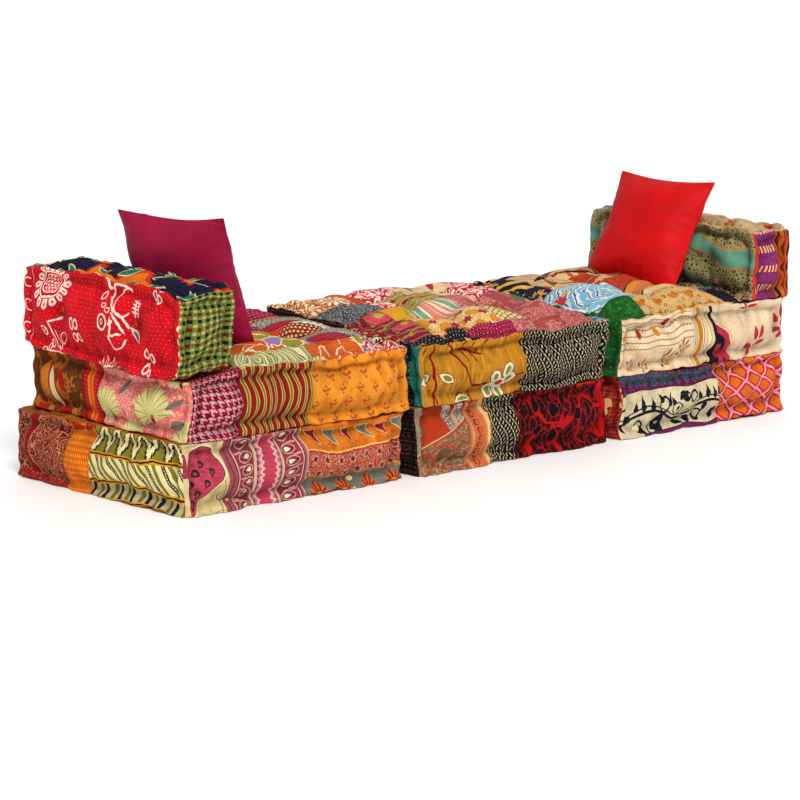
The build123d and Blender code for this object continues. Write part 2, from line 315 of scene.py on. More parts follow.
def drift(places, size, seed):
    """Soft noise from about -1 to 1 with lumps of this size: a sum of five sine waves set by seed."""
    chance = np.random.default_rng(seed)
    total = np.zeros(places.shape[:-1])
    for _ in range(5):
        way = chance.normal(size=places.shape[-1])
        way *= 2 * np.pi / size / np.linalg.norm(way) * chance.uniform(0.6, 1.3)
        total += np.sin(places @ way + chance.uniform(0, 2 * np.pi))
    return total / 2.2


def bell(way, width):
    """1 where way is 0, falling off to about a third at this width."""
    return np.exp(-(way / width) ** 2)


def mesh_piece(name, places, faces, maps, cloth_numbers, cloths, seam=None, shade=()):
    """A mesh object with its maps and rags. Edges along the seam stay sharp when it is rounded.

    shade tells how deep in a fold each of the first places lies; it is stored as fold_shade, painted shade
    that darkens the rags' colour there.
    """
    mesh = bpy.data.meshes.new(name)
    mesh.from_pydata(places.tolist(), [], faces)
    for layer, corners in maps.items():
        mesh.uv_layers.new(name=layer).uv.foreach_set("vector", corners.astype(np.float32).ravel())
    for cloth in cloths:
        mesh.materials.append(cloth)
    mesh.polygons.foreach_set("material_index", cloth_numbers.astype(np.int32))
    mesh.polygons.foreach_set("use_smooth", np.ones(len(faces), bool))
    if len(shade):
        depth = mesh.attributes.new("fold_shade", "FLOAT", "POINT")
        depth.data.foreach_set("value", np.pad(shade, (0, len(places) - len(shade))).astype(np.float32))
    if seam is not None:
        ends = np.zeros(len(mesh.edges) * 2, np.int32)
        mesh.edges.foreach_get("vertices", ends)
        on_seam = np.isin(ends.reshape(-1, 2), seam).all(1)
        crease = mesh.attributes.new("crease_edge", "FLOAT", "EDGE")
        crease.data.foreach_set("value", on_seam.astype(np.float32))
        sharp = mesh.attributes.new("sharp_edge", "BOOLEAN", "EDGE")
        sharp.data.foreach_set("value", on_seam)
    made = bpy.data.objects.new(name, mesh)
    bpy.context.scene.collection.objects.link(made)
    return made


def drawn_together(places, outer, middle):
    """Closes a hidden ring by rings of half as many points, and gives their triangles and bake places."""
    triangles, corners = [], []
    turn = np.arange(len(outer)) / len(outer)
    level, strip, apart, smallest = 0.963, 0.004, 0.0005, 6
    while len(outer) > smallest:
        inner = len(places) + np.arange((len(outer) + 1) // 2)
        places = np.concatenate([places, middle + (places[outer[::2]] - middle) * 0.6])
        high = level + strip
        for j in range(len(inner)):
            a, b, c = 2 * j, 2 * j + 1, (2 * j + 2) % len(outer)
            k = (j + 1) % len(inner)
            ends = {a: turn[a], c: turn[c] if c else 1.0}
            if b < len(outer):
                triangles += [(outer[b], outer[a], inner[j]), (outer[c], outer[b], inner[k]),
                              (outer[b], inner[j], inner[k])]
                corners += [(turn[b], level), (turn[a], level), (turn[a], high),
                            (ends[c], level), (turn[b], level), (ends[c], high),
                            (turn[b], level), (turn[a], high), (ends[c], high)]
            else:
                triangles += [(outer[0], outer[a], inner[j]), (outer[0], inner[j], inner[0])]
                corners += [(1, level), (turn[a], level), (turn[a], high),
                            (1, level), (turn[a], high), (1, high)]
        outer, turn, level = inner, turn[::2], high + apart
    fan = [(outer[k], outer[k + 1], outer[0]) for k in range(len(outer) - 2, 0, -1)]
    triangles += [(b, a, c) for a, b, c in fan]
    corners += [(0.1 + 0.1 * k, level + shift) for k in range(len(fan)) for shift in (0, strip / 2, strip)]
    return places, np.array(triangles), np.array(corners)


def swollen(places, quads, held, reach):
    """Where the cloth goes in 20 frames under pressure, held at its stitches and moved by reach at most.

    It starts 3 mm inside its rest shape, and its threads are 3% longer than the way between stitches.
    """
    last_frame, start_depth, extra_length = 20, 0.003, 0.03
    mesh = bpy.data.meshes.new("stuffing")
    mesh.from_pydata(places.tolist(), [], quads.tolist())
    out = np.zeros(places.size, np.float32)
    mesh.vertices.foreach_get("normal", out)
    start = places - start_depth * out.reshape(-1, 3) * ~held[:, None]
    mesh.vertices.foreach_set("co", start.astype(np.float32).ravel())
    cover = bpy.data.objects.new("stuffing", mesh)
    bpy.context.scene.collection.objects.link(cover)
    cover.vertex_groups.new(name="held").add(np.flatnonzero(held).tolist(), 1.0, "REPLACE")
    cloth = cover.modifiers.new("stuffing", "CLOTH")
    cloth.settings.vertex_group_mass = "held"
    cloth.settings.use_pressure = True
    cloth.settings.uniform_pressure_force = 4.0
    cloth.settings.effector_weights.gravity = 0.0
    cloth.settings.shrink_min = -extra_length
    cloth.settings.quality = 5
    cloth.collision_settings.use_collision = False
    cloth.point_cache.frame_start = 1
    cloth.point_cache.frame_end = last_frame
    for frame_number in range(1, last_frame + 1):
        bpy.context.scene.frame_set(frame_number)
    after = np.zeros(places.size, np.float32)
    cover.evaluated_get(bpy.context.evaluated_depsgraph_get()).data.vertices.foreach_get("co", after)
    bpy.data.objects.remove(cover)
    bpy.data.meshes.remove(mesh)
    bpy.context.scene.frame_set(1)
    moved = after.reshape(-1, 3) - places
    far = np.linalg.norm(moved, axis=1)[:, None].clip(1e-9)
    return places + moved / far * reach * np.tanh(far / reach)


def rounded(piece):
    """Adds one level of subdivision, which keeps the cloth maps as they are."""
    rounding = piece.modifiers.new("rounding", "SUBSURF")
    rounding.levels = rounding.render_levels = 1
    rounding.uv_smooth = "NONE"
    return piece


class BlockCushion:
    """A block cushion: six padded grids welded at their edges, stuffed, and cut into its covers.

    A quilt gives a face's rags in rows from the bottom up: (top of the row, [(right end, rag), ...]),
    in centimetres from the face's left bottom corner, as seen from outside.
    """

    # Each face's corner, and its ways across and up as seen from outside.
    faces = {
        "front": ((-1, -1, 0), (1, 0, 0), (0, 0, 1)),
        "right": ((1, -1, 0), (0, 1, 0), (0, 0, 1)),
        "back": ((1, 1, 0), (-1, 0, 0), (0, 0, 1)),
        "left": ((-1, 1, 0), (0, -1, 0), (0, 0, 1)),
        "top": ((-1, -1, 1), (1, 0, 0), (0, 1, 0)),
        "bottom": ((-1, 1, 0), (1, 0, 0), (0, -1, 0)),
    }
    # The roll's radius, the stitched groove's way from the edge and its depth, the way between
    # stitches, how far a side draws in, and how far the stuffing may push the cloth out.
    roll = 0.0155
    groove = 0.031
    groove_depth = 0.0135
    stitch_pitch = 0.046
    draw_in = 0.004
    swelling = 0.009

    def __init__(self, name, size, quilt, seed, crown, side_bulge=0.006, tufts=(), tuft_depth=0.022,
                 smooth="left"):
        self.name = name
        self.size = np.array(size)
        self.seed = seed
        self.tufts = tufts
        self.cloths = []
        panel_bake, side_row, side_bake, seam_depth, seam_shade = 0.93, 0.235, 0.225, 0.0013, 0.35
        keys, places, shades, quads, cloth, cloth_map, bake_map, owner = [], [], [], [], [], [], [], []
        held = []
        self.rings = {}
        count = 0
        for number, (face, (corner, across, up)) in enumerate(self.faces.items()):
            across, up = np.array(across), np.array(up)
            out = np.cross(across, up)
            wide, tall = abs(across) @ self.size, abs(up) @ self.size
            p, q = np.meshgrid(self.grid_lines(wide), self.grid_lines(tall))
            panel = face in ("top", "bottom")
            x, y = self.skewed(p, q, wide, tall, number) if panel else (p, q)
            here = [((a + 0.5) * wide, (0.5 + b * (1 if face == "top" else -1)) * tall) for a, b in tufts]
            height, shade, hold = self.padding(
                x, y, wide, tall, crown if panel else side_bulge, here if panel else (), tuft_depth,
                0.5 if face == smooth else 1)
            held.append(hold.ravel())
            rag, patch_p, patch_q, seam = self.patches(quilt.get(face), p, q)
            height = height - seam_depth * seam
            # Where patches meet, the seam sinks a little and its colour also gets painted shade.
            shades.append(np.maximum(shade, seam_shade * seam).ravel())
            flat = self.size * np.array(corner) * (0.5, 0.5, 1) + x[..., None] * across + y[..., None] * up
            keys.append((flat + out * self.arc(p.min())).reshape(-1, 3))
            places.append((flat + out * height[..., None]).reshape(-1, 3))
            ids = count + np.arange(p.size).reshape(p.shape)
            count += p.size
            quads.append(self.corners(ids).reshape(-1, 4))
            owner.append(np.full(rag.size, {"top": 0, "bottom": 2}.get(face, 1)))
            cloth.append(rag.ravel())
            cloth_map.append(np.stack([self.corners(p) - patch_p[..., None],
                                       self.corners(q) - patch_q[..., None]], -1).reshape(-1, 4, 2) * 100)
            if panel:
                bake = self.corners(p) / wide, self.corners(q) / tall * panel_bake
            else:
                bake = (self.corners(p) / self.size[:2].max(),
                        side_row * number + self.corners(q) / tall * side_bake)
            bake_map.append(np.stack(bake, -1).reshape(-1, 4, 2))
            self.rings[face] = ids
        keys = np.round(np.concatenate(keys) * 1e5).astype(int)
        same = np.unique(keys, axis=0, return_inverse=True)[1].ravel()
        places = np.concatenate(places)
        sums = [np.bincount(same, places[:, axis]) for axis in range(3)]
        self.places = np.stack(sums, -1) / np.bincount(same)[:, None]
        self.shade = np.bincount(same, np.concatenate(shades)) / np.bincount(same)
        self.held = np.bincount(same, np.concatenate(held)) > 0
        self.quads = same[np.concatenate(quads)]
        self.rings = {face: same[ids] for face, ids in self.rings.items()}
        self.cloth = np.concatenate(cloth)
        self.cloth_map = np.concatenate(cloth_map)
        self.bake_map = np.concatenate(bake_map)
        self.owner = np.concatenate(owner)

    @staticmethod
    def corners(grid):
        """The values at each quad's four corners, anticlockwise."""
        return np.stack([grid[:-1, :-1], grid[:-1, 1:], grid[1:, 1:], grid[1:, :-1]], -1)

    def grid_lines(self, length):
        """Lines across a side: at set angles round both rolls, then a centimetre apart."""
        around = self.roll * (1 - np.cos(np.radians((45, 62, 80, 100, 120, 142))))
        edge = np.concatenate([around, (self.groove, 0.036, 0.043)])
        inner = np.linspace(0.05, length - 0.05, round((length - 0.1) * 100) + 1)
        return np.concatenate([edge, inner, (length - edge)[::-1]])

    def skewed(self, p, q, wide, tall, number):
        """Panel places pushed sideways inside the rolls, because hand-pieced rags are never square."""
        square, blend = 0.04, 0.11
        near = np.minimum(np.minimum(p, wide - p), np.minimum(q, tall - q))
        inside = np.clip(near - square, 0, blend) / blend
        inside = inside * inside * (3 - 2 * inside)
        flat = np.stack([p, q], -1)
        turn = 0.10 * drift(flat * 0 + 1, 1, self.seed + number)
        wander, lump = 0.014, 0.45
        x = p + inside * (wander * drift(flat, lump, self.seed + 3) + turn * (q - tall / 2))
        y = q + inside * (wander * drift(flat, lump, self.seed + 4) - turn * (p - wide / 2))
        return x, y

    def arc(self, near):
        """Height of a roll's round back below its crest, at this distance from the edge."""
        return np.sqrt(np.clip(self.roll ** 2 - (near - self.roll) ** 2, 0, None)) - self.roll

    def climb(self, distance, run):
        """0 at the stitched line, climbing to 1 over about run."""
        return 1 - np.exp(-2.5 * np.clip(distance - self.groove, 0, None) / run)

    def pinched(self, along):
        """Near 1 at every stitch and 0 in between. Spacing and pull vary, as in hand sewing."""
        uneven = along + 0.011 * np.sin(23 * along + self.seed) + 0.004 * np.sin(71 * along + 2 * self.seed)
        pull = 0.7 + 0.3 * np.sin(39 * along + 1.7 * self.seed)
        return pull * (0.5 + 0.5 * np.cos(2 * np.pi * uneven / self.stitch_pitch + self.seed)) ** 1.6

    def padding(self, p, q, wide, tall, bulge, tufts, tuft_depth, strength):
        """Height of a padded face over the crests of its rolls.

        The roll is an arc, and past the groove the face climbs to its bulge. Tufts are bell-shaped
        pits joined by soft valleys. Stitches pinch the roll, the groove and the folds beyond it.
        The last two results are the shade in the folds, and where thread holds the cloth.
        """
        across = np.minimum(p, wide - p)
        up = np.minimum(q, tall - q)
        near = (across ** -4.0 + up ** -4.0) ** -0.25
        across_run, up_run, tuft_run = 0.085, min(0.1, tall / 3.4), 0.15
        depth = self.groove_depth * strength
        field = -depth + (depth + bulge) * self.climb(across, across_run) * self.climb(up, up_run)
        narrow_pit, wide_pit = 0.018, 0.05
        for x, y in tufts:
            reach = np.hypot(p - x, q - y)
            pit = 0.4 * np.exp(-(reach / narrow_pit) ** 1.5) + 0.6 * np.exp(-(reach / wide_pit) ** 1.5)
            field = field - tuft_depth * pit
        valley_shade, valley_depth, valley_width, shaded_width = 0, 0.42 * tuft_depth, 0.024, 0.018
        if len(tufts):
            inner = self.climb(across, tuft_run) * self.climb(up, tuft_run)
            for places, lines in ((p, {x for x, _ in tufts}), (q, {y for _, y in tufts})):
                for line in lines:
                    field = field - valley_depth * bell(places - line, valley_width) * inner
                    valley_shade = valley_shade + 0.3 * bell(places - line, shaded_width) * inner
        edge, blend = self.arc(near), 0.0018
        face = (edge + field + np.sqrt((edge - field) ** 2 + blend ** 2)) / 2
        share = up ** 6 / (across ** 6 + up ** 6)
        pinch = share * self.pinched(q) + (1 - share) * self.pinched(p)
        along = share * q + (1 - share) * p
        fold_start, fold_reach = 0.010, 0.020 + 0.012 * np.sin(57 * along + 3 * self.seed)
        groove_width, slit_width, slit_depth, dimple_width = 0.009, 0.0042, 0.0045, 0.024
        groove = bell(near - self.groove, groove_width)
        fold = bell(near - self.groove - fold_start, fold_reach) * (near > self.groove)
        crest = bell(near - 0.6 * self.roll, self.roll)
        slit = bell(near - self.groove, slit_width)
        sunk = pinch * (0.002 * groove + 0.0074 * fold + 0.0062 * crest)
        face = face - (slit_depth * slit + sunk) * (0.4 + 0.6 * strength)
        dimple = sum(bell(np.hypot(p - x, q - y), dimple_width) for x, y in tufts)
        # Painted shade: darker colour in the groove's slit, the pinched folds and crest, the tuft dimples
        # and the valleys between tufts.
        shade = slit * (0.6 + 0.4 * pinch) + 0.45 * pinch * fold + 0.25 * pinch * crest + 0.6 * dimple
        stitched, sewn_edge, tied = 0.002, 0.001, 0.013
        thread = (abs(near - self.groove) < stitched) | (near < sewn_edge) & (pinch > 0.45)
        for x, y in tufts:
            thread = thread | (np.hypot(p - x, q - y) < tied)
        return face, (shade * (0.5 + 0.5 * strength) + valley_shade).clip(0, 1), thread * 1.0

    def patches(self, rows, p, q):
        """Every quad's rag and patch corner, and 1 at the grid places where patches meet."""
        middle_p = (p[:-1, :-1] + p[1:, 1:]) / 2 * 100
        middle_q = (q[:-1, :-1] + q[1:, 1:]) / 2 * 100
        cloth, patch = np.zeros(middle_p.shape, int), np.zeros(middle_p.shape, int)
        left_p, left_q = np.zeros(cloth.shape), np.zeros(cloth.shape)
        low, number = 0, 0
        for top, columns in rows or [(999, [(999, "underside")])]:
            left = 0
            for right, name in columns:
                inside = (middle_p > left) & (middle_p < right) & (middle_q > low) & (middle_q < top)
                if rags[name] not in self.cloths:
                    self.cloths.append(rags[name])
                number += 1
                patch[inside] = number
                cloth[inside] = self.cloths.index(rags[name])
                left_p[inside] = left / 100
                left_q[inside] = low / 100
                left = right
            low = top
        wide = np.pad(patch, 1, mode="edge")
        four = np.stack([wide[:-1, :-1], wide[:-1, 1:], wide[1:, 1:], wide[1:, :-1]])
        return cloth, left_p, left_q, (four.max(0) != four.min(0)) * 1.0

    def shaped(self, lift=(0, 0, 0, 0), press=(0.004, 0.004), set_out=((0, 0),) * 4, fade=0.0):
        """Draws the sides in between the corners, lifts the top's corners and adds the maker's unevenness.

        press is how far the filling would stand past its bed, below and above, before it is flattened,
        and set_out moves the corners in plan: front left, front right, back left, back right. Where it
        fades, the top stays in line and only the foot stands forward.
        """
        wide, deep, tall = self.size
        x, y, z = self.places.T.copy()
        z = z * (tall + sum(press)) / tall - press[0]
        u, v, w = x / wide * 2, y / deep * 2, (z / tall).clip(0, 1)
        corner_reach, rounding = 0.05, 0.55
        a = (abs(x) - wide / 2 + corner_reach).clip(0)
        b = (abs(y) - deep / 2 + corner_reach).clip(0)
        turned = 1 - rounding * (1 - np.maximum(a, b) / np.hypot(a, b).clip(1e-6)) * (np.minimum(a, b) > 0)
        x -= np.sign(x) * a * (1 - turned)
        y -= np.sign(y) * b * (1 - turned)
        x -= np.sign(u) * self.draw_in * (1 - v ** 2).clip(0) * abs(u) ** 4
        y -= np.sign(v) * self.draw_in * (1 - u ** 2).clip(0) * abs(v) ** 4
        a, b = (u + 1) / 2, (v + 1) / 2
        z += w * (lift[0] * (1 - a) * (1 - b) + lift[1] * a * (1 - b) + lift[2] * (1 - a) * b
                  + lift[3] * a * b)
        corner = np.stack([(1 - a) * (1 - b), a * (1 - b), (1 - a) * b, a * b], -1)
        x += corner @ np.array(set_out)[:, 0]
        y += (corner @ np.array(set_out)[:, 1]) * (1 - fade * w)
        places = np.stack([x, y, z], -1)
        large_lump, small_lump, large_rise, small_rise = 0.36, 0.11, (0.0045, 0.0045, 0.0035), 0.0032
        large = np.stack([drift(places, large_lump, self.seed + 10 + k) for k in range(3)], -1)
        small = np.stack([drift(places, small_lump, self.seed + 20 + k) for k in range(3)], -1)
        self.places = places + (large * large_rise + small * small_rise)
        sides = ("front", "right", "back", "left")
        seam = np.unique(np.concatenate([self.rings[face][[0, -1]].ravel() for face in sides]))
        seam_sink, at_edge = 0.0016, 0.42
        way = (self.places[seam] - self.size * (0, 0, 0.5)) / self.size
        way = np.where(abs(way) > at_edge, np.sign(way), 0)
        way = way / np.linalg.norm(way, axis=1)[:, None].clip(1)
        self.places[seam] -= way * seam_sink
        return self

    def stretched(self, extra):
        """Makes it this much larger along its own axes, before its foot is pressed flat."""
        self.places = self.places * (1 + np.array(extra) / self.size)
        return self

    def stood(self, place, turn=((1, 0, 0), (0, 1, 0), (0, 0, 1))):
        """Moves the cushion to its place. The rows of turn are where its own axes point."""
        self.turn = np.array(turn, float)
        self.place = np.array(place)
        self.places = self.places @ self.turn + self.place
        return self

    def stuffed(self):
        """Pushes the wadding in: a cloth simulation swells the covers between their stitches."""
        self.places = swollen(self.places, self.quads, self.held, self.swelling)
        return self

    def pressed(self, floor, ceiling=None):
        """Flattens it on what it lies on, and under what stands on it, and spreads its rolls there.

        A bed is a height, or a function that gives the height at each place.
        """
        soft, spread_out, spread_high = 0.002, 0.0075, 0.013
        for bed, up in ((floor, 1), (ceiling, -1)):
            if bed is None:
                continue
            level = bed(self.places) if callable(bed) else bed
            gap = (self.places[:, 2] - level) * up
            middle = self.places[:, :2].mean(0)
            half = np.ptp(self.places[:, :2], axis=0) / 2
            out = (self.places[:, :2] - middle) / half
            spread = spread_out * bell(gap.clip(0), spread_high)
            self.places[:, :2] += np.sign(out) * abs(out) ** 12 * spread[:, None]
            gap = np.where(gap > soft, gap, soft * np.exp(np.clip(gap / soft, -30, 1) - 1))
            self.places[:, 2] = level + gap * up
        return self

    def covers(self):
        """Makes the top panel, the band and the bottom panel, each closed inside the stuffing."""
        side = [self.rings[face] for face in ("front", "right", "back", "left")]
        high = np.concatenate([ids[-1, :-1] for ids in side])
        low = np.concatenate([ids[0, :-1] for ids in side])
        middle = self.places.mean(0)
        up = self.turn[2] * self.size[2] / 2
        tall = abs(up).sum()
        inward = middle - self.places
        inward = inward - (inward @ up)[:, None] * up / tall ** 2
        turned_in, first_strip, strip_step, strip_width = 0.03, 0.945, 0.016, 0.015
        band_depth, panel_depth, panel_share = 0.25, 0.3, 0.8
        inward *= turned_in / np.maximum(abs(inward).max(1), turned_in)[:, None]
        for number, part in enumerate(("top_panel", "side_band", "bottom_panel")):
            quads = self.quads[self.owner == number]
            used, faces = np.unique(quads, return_inverse=True)
            faces = faces.reshape(quads.shape)
            place_of = {old: new for new, old in enumerate(used)}
            rings = {0: (high,), 1: (high, low), 2: (low[::-1],)}[number]
            ring = [np.array([place_of[old] for old in one]) for one in rings]
            count, n = len(used), len(high)
            nxt = (np.arange(n) + 1) % n
            if number == 1:
                inner_high = self.places[high] + inward[high] - up * band_depth
                inner_low = self.places[low] + inward[low] + up * band_depth
                places = np.concatenate([self.places[used], inner_high, inner_low])
                a, b = count + np.arange(n), count + n + np.arange(n)
                strips = [(ring[0], a), (a, b), (b, ring[1])]
                closing = [np.stack([first, first[nxt], second[nxt], second], -1)
                           for first, second in strips]
                triangles = []
            else:
                sink = up * (-panel_depth if number == 0 else panel_depth)
                inner = self.places[rings[0]] + inward[rings[0]] * panel_share + sink
                places = np.concatenate([self.places[used], inner])
                a = count + np.arange(n)
                closing = [np.stack([ring[0][nxt], ring[0], a, a[nxt]], -1)]
            closing = np.concatenate(closing)
            share = np.arange(n) / n
            bakes = []
            for row in range(len(closing) // n):
                base = first_strip + strip_step * row
                bake_x = np.stack([share, share + 1 / n, share + 1 / n, share], -1)
                bake_y = np.tile([base, base, base + strip_width, base + strip_width], (n, 1))
                bakes.append(np.stack([bake_x, bake_y], -1))
            bakes = np.concatenate(bakes).reshape(-1, 2)
            if number != 1:
                places, triangles, corner = drawn_together(places, a, middle)
                bakes = np.concatenate([bakes, corner])
            extra = np.zeros((len(bakes), 2))
            maps = {
                "cloth": np.concatenate([self.cloth_map[self.owner == number].reshape(-1, 2), extra]),
                "OFBake": np.concatenate([self.bake_map[self.owner == number].reshape(-1, 2), bakes]),
            }
            all_faces = faces.tolist() + closing.tolist() + (triangles.tolist() if len(triangles) else [])
            numbers = np.concatenate([self.cloth[self.owner == number],
                                      np.zeros(len(closing) + len(triangles))])
            piece = mesh_piece(f"{self.name}_{part}_rags", places, all_faces, maps, numbers, self.cloths,
                               np.concatenate(ring), self.shade[used])
            rounded(piece)
            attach(piece, self.name)
            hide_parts(f"{self.name}_{part}", *([f"{self.name}_filling"] if number == 0 else []))

    def finished(self, thread):
        """Makes the covers, and the knots of this thread."""
        self.covers()
        self.knots(rags[thread])

    def knots(self, thread):
        """Ties a knot of thread with frayed ends at both ends of every cord, down in its dimple."""
        chance = np.random.default_rng(self.seed)
        strands, thread_radius = 7, 0.0009
        places, faces, count = [], [], 0
        for face, sign in (("top", 1), ("bottom", -1)):
            out = self.turn[2] * sign
            ids = self.rings[face].ravel()
            for a, b in self.tufts:
                want = self.place + self.turn[0] * a * self.size[0] + self.turn[1] * b * self.size[1]
                off = self.places[ids] - want
                off -= (off @ out)[:, None] * out
                root = self.places[ids[np.argmin((off ** 2).sum(1))]] + out * (0.001 if sign > 0 else -0.002)
                for strand in range(strands):
                    angle = strand * 2.4 + chance.uniform(-0.3, 0.3)
                    way = self.turn[0] * np.cos(angle) + self.turn[1] * np.sin(angle)
                    length = chance.uniform(0.005, 0.011)
                    t, around = np.meshgrid(np.linspace(0, 1, 9), np.arange(6) * np.pi / 3, indexing="ij")
                    bend = chance.uniform(0.3, 0.8)
                    rise = 0.004 if sign > 0 else 0.0015
                    centre = (root + way * (length * t ** 1.2)[..., None]
                              + out * (rise * np.sin(np.pi * t * bend))[..., None])
                    beside = np.cross(out, way)
                    thick = thread_radius * (1 - 0.55 * t) * (t > 0) * (t < 1) + 0.0002
                    tube = (centre + beside * (thick * np.cos(around))[..., None]
                            + out * (thick * np.sin(around))[..., None])
                    grid = count + np.arange(tube[..., 0].size).reshape(t.shape)
                    around_next = np.roll(grid, -1, 1)
                    square = np.stack([grid[:-1], around_next[:-1], around_next[1:], grid[1:]], -1)
                    faces += square.reshape(-1, 4).tolist() + [grid[0, ::-1].tolist(), grid[-1].tolist()]
                    places.append(tube.reshape(-1, 3))
                    count += t.size
        places = np.concatenate(places)
        order = np.concatenate([np.array(face) for face in faces])
        flat = (places[order] @ self.turn.T)[:, :2] * 100
        piece = mesh_piece(f"{self.name}_thread_knots", places, faces, {"cloth": flat},
                           np.zeros(len(faces)), [thread])
        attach(piece, self.name)
        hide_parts(f"{self.name}_tuft_ties")

# The lower left cushion. Its front is pieced from a cream print of cut melons, a pink lace print
# and an orange border of pennants; its outer side from a scroll print, a kantha and an ikat.

rag = Rag("melon_print", "d3c18f")
rag.mottle(4.0, 2.0, 0.56, "bfb084")
rag.lay((rag.u - 10.9 - rag.v.wave(19, 0.9)).near(0, 0.16), "5d503a")
rag.lay((rag.v - 1.2 - rag.u.wave(5, 0.4)).near(0, 0.14) | (rag.v - 15.0 - rag.u * 0.12).near(0, 0.12),
        "6d6244")
for x, y in ((11.7, 4.3), (5.0, 15.9)):
    whorl = rag.place.at(x, y)
    rag.lay(whorl.ring(0, 0, 1.15, 0.15) | whorl.ring(0.12, -0.05, 0.66, 0.13)
            | whorl.ring(0.2, 0, 0.26, 0.12), "57503a")
melon = rag.place.shaken(3.0, 0.25)
rag.lay(melon.drop(5.3, 7.6, 17.0, 10.4, 66), "e2d6ac")
rag.lay(melon.drop(5.3, 7.6, 15.9, 9.5, 66), "5c2430")
fruit = melon.drop(5.3, 7.6, 15.5, 9.1, 66)
rag.lay(fruit, "bf4c62")
rag.lay(fruit & (rag.place.noise(1.3, 3.0) > 0.56), "ad4058")
for x, y, turn in ((5.6, 11.2, 60), (4.2, 9.2, 40), (8.3, 9.9, 75), (2.9, 6.9, 45), (6.7, 7.3, 70),
                   (4.8, 5.0, 60), (3.4, 3.3, 70)):
    rag.lay(melon.drop(x, y, 2.1, 1.6, turn), "3a2a26")
    rag.lay(melon.drop(x, y, 1.1, 0.7, turn), "96504e")
rag.lay(rag.u.band(0, 0.9 + rag.v.zigzag(9.0, 1.5)) & rag.v.band(8.5, 13.5), "a83f5a")
rag.lay(rag.u > 12.5, "ab5367")
rag.lay(rag.u.near(12.4, 0.16) | rag.u.near(13.6, 0.2), "43352e")
rag.sew(0.2)

rag = Rag("lace_print", "a23c52")
rag.colour = rag.u.stripes(23, (0, "ac5a68"), (0.03, "3d2f2c"), (0.042, "c7b193"), (0.055, "a03a50"),
                           (0.30, "c7b193"), (0.33, "3f3530"), (0.345, "bd4a60"), (0.60, "3f3530"),
                           (0.615, "c7b193"), (0.65, "a03a50"), (0.91, "c7b193"), (0.925, "4a3430"),
                           (0.94, "b0566e"), (0.98, "d0bd9a"))
fringe = rag.v.wave(1.3, 0.3) + rag.place.noise(0.8) * 0.7
rag.lay((rag.u + fringe).band(8.9, 9.75) | (rag.u - fringe).band(12.2, 13.0), "d9b0ac")
rag.lay((rag.u + fringe).band(8.2, 8.9) | (rag.u - fringe).band(13.0, 13.6), "b5707c")
for middle, side in ((4.1, 1), (18.1, -1)):
    own = rag.place.shaken(1.2, 0.12).at(middle - 3.1, 0.6).cell(6.2, 2.5, 0)
    inside = abs(rag.u - middle) < 3.0
    finger = own.at(0.35 * side, 0)
    for reach, colour in ((0.3, "33241f"), (0.2, "cc9e92"), (-0.1, "33241f"), (-0.18, "a03a50")):
        rag.lay(inside & finger.oval(0, 0, 2.05 + reach, 0.92 + reach), colour)
    rag.lay(inside & own.stroke(-2.6 * side, 1.1, -0.4 * side, 1.1, 0.3), "d0a294")
    rag.lay(inside & own.drop(0.5 * side, 0, 2.7, 1.15, 0 if side > 0 else 180), "33241f")
    rag.lay(inside & own.drop(0.55 * side, 0, 2.4, 0.92, 0 if side > 0 else 180), "ead9bc")
    rag.lay(inside & own.oval(-1.15 * side, 0, 0.28, 0.2), "33241f")
rag.sew(0.15)

rag = Rag("pennant_border", "d5801f")
rag.mottle(2.5, 3.0, 0.55, "c46f18")
own, number = rag.place.shaken(2.0, 0.15).at(0.0, 9.6).cells(5.4, 5.6, 0)
odd = number.axis(0) % 2 > 0.5
across, up = own.axis(0) + 2.7, own.axis(1) - 2.3
hanging = (number.axis(1) < 0.5) & (rag.v > 10.6)
for inset, colour in ((0.0, "4a2a18"), (0.1, "e6cc98"), (0.3, "a8202a"), (0.3, "857f70")):
    cut = (up < across * 0.08 - inset) & (up + across * 0.62 > inset) & (across + up * 0.42 < 4.4 - inset)
    rag.lay(hanging & cut & (odd if colour == "857f70" else 1), colour)
wavy = rag.v + rag.place.noise(3.0) * 0.7 - 0.35 + rag.u.wave(1.3, 0.07)
rag.lay(wavy < 10.4, "dcb878")
rag.lay(wavy < 10.05, "b22a18")
small = rag.place.shaken(0.9, 0.4)
rag.lay((wavy < 9.7) & small.scribble(0.9, 3.0, 0.14, 7.0), "c8782a")
rag.lay((wavy < 9.7) & small.cell(1.7, 1.3).ring(0, 0, 0.45, 0.15), "a39c9c")
rag.lay((wavy < 9.7) & small.cell(4.2, 3.3).petals(6, 0.5, 1.2), "b9a08c")
rag.lay((wavy < 9.7) & (small.cell(4.2, 3.3).beyond() < 0.6), "7c1f18")
rag.lay(wavy < 4.6, "d38a2a")
rag.lay(wavy < 4.2, "807d72")
rag.lay((wavy < 4.2) & (rag.place.noise(0.35, 2.0) > 0.6), "6e6b63")
fan = rag.place.at(0.2, -0.4).cell(8.2, 4.6, 0).at(0, -1.4)
rag.lay((wavy < 4.4) & fan.petals(11, 1.5, 3.3), "c86c1c")
rag.lay((wavy < 4.4) & fan.petals(11, 0.8, 2.9, 3.14), "8e2620")
rag.lay((wavy < 4.4) & (fan.beyond() < 0.9), "c98a34")
rag.sew(0.2)

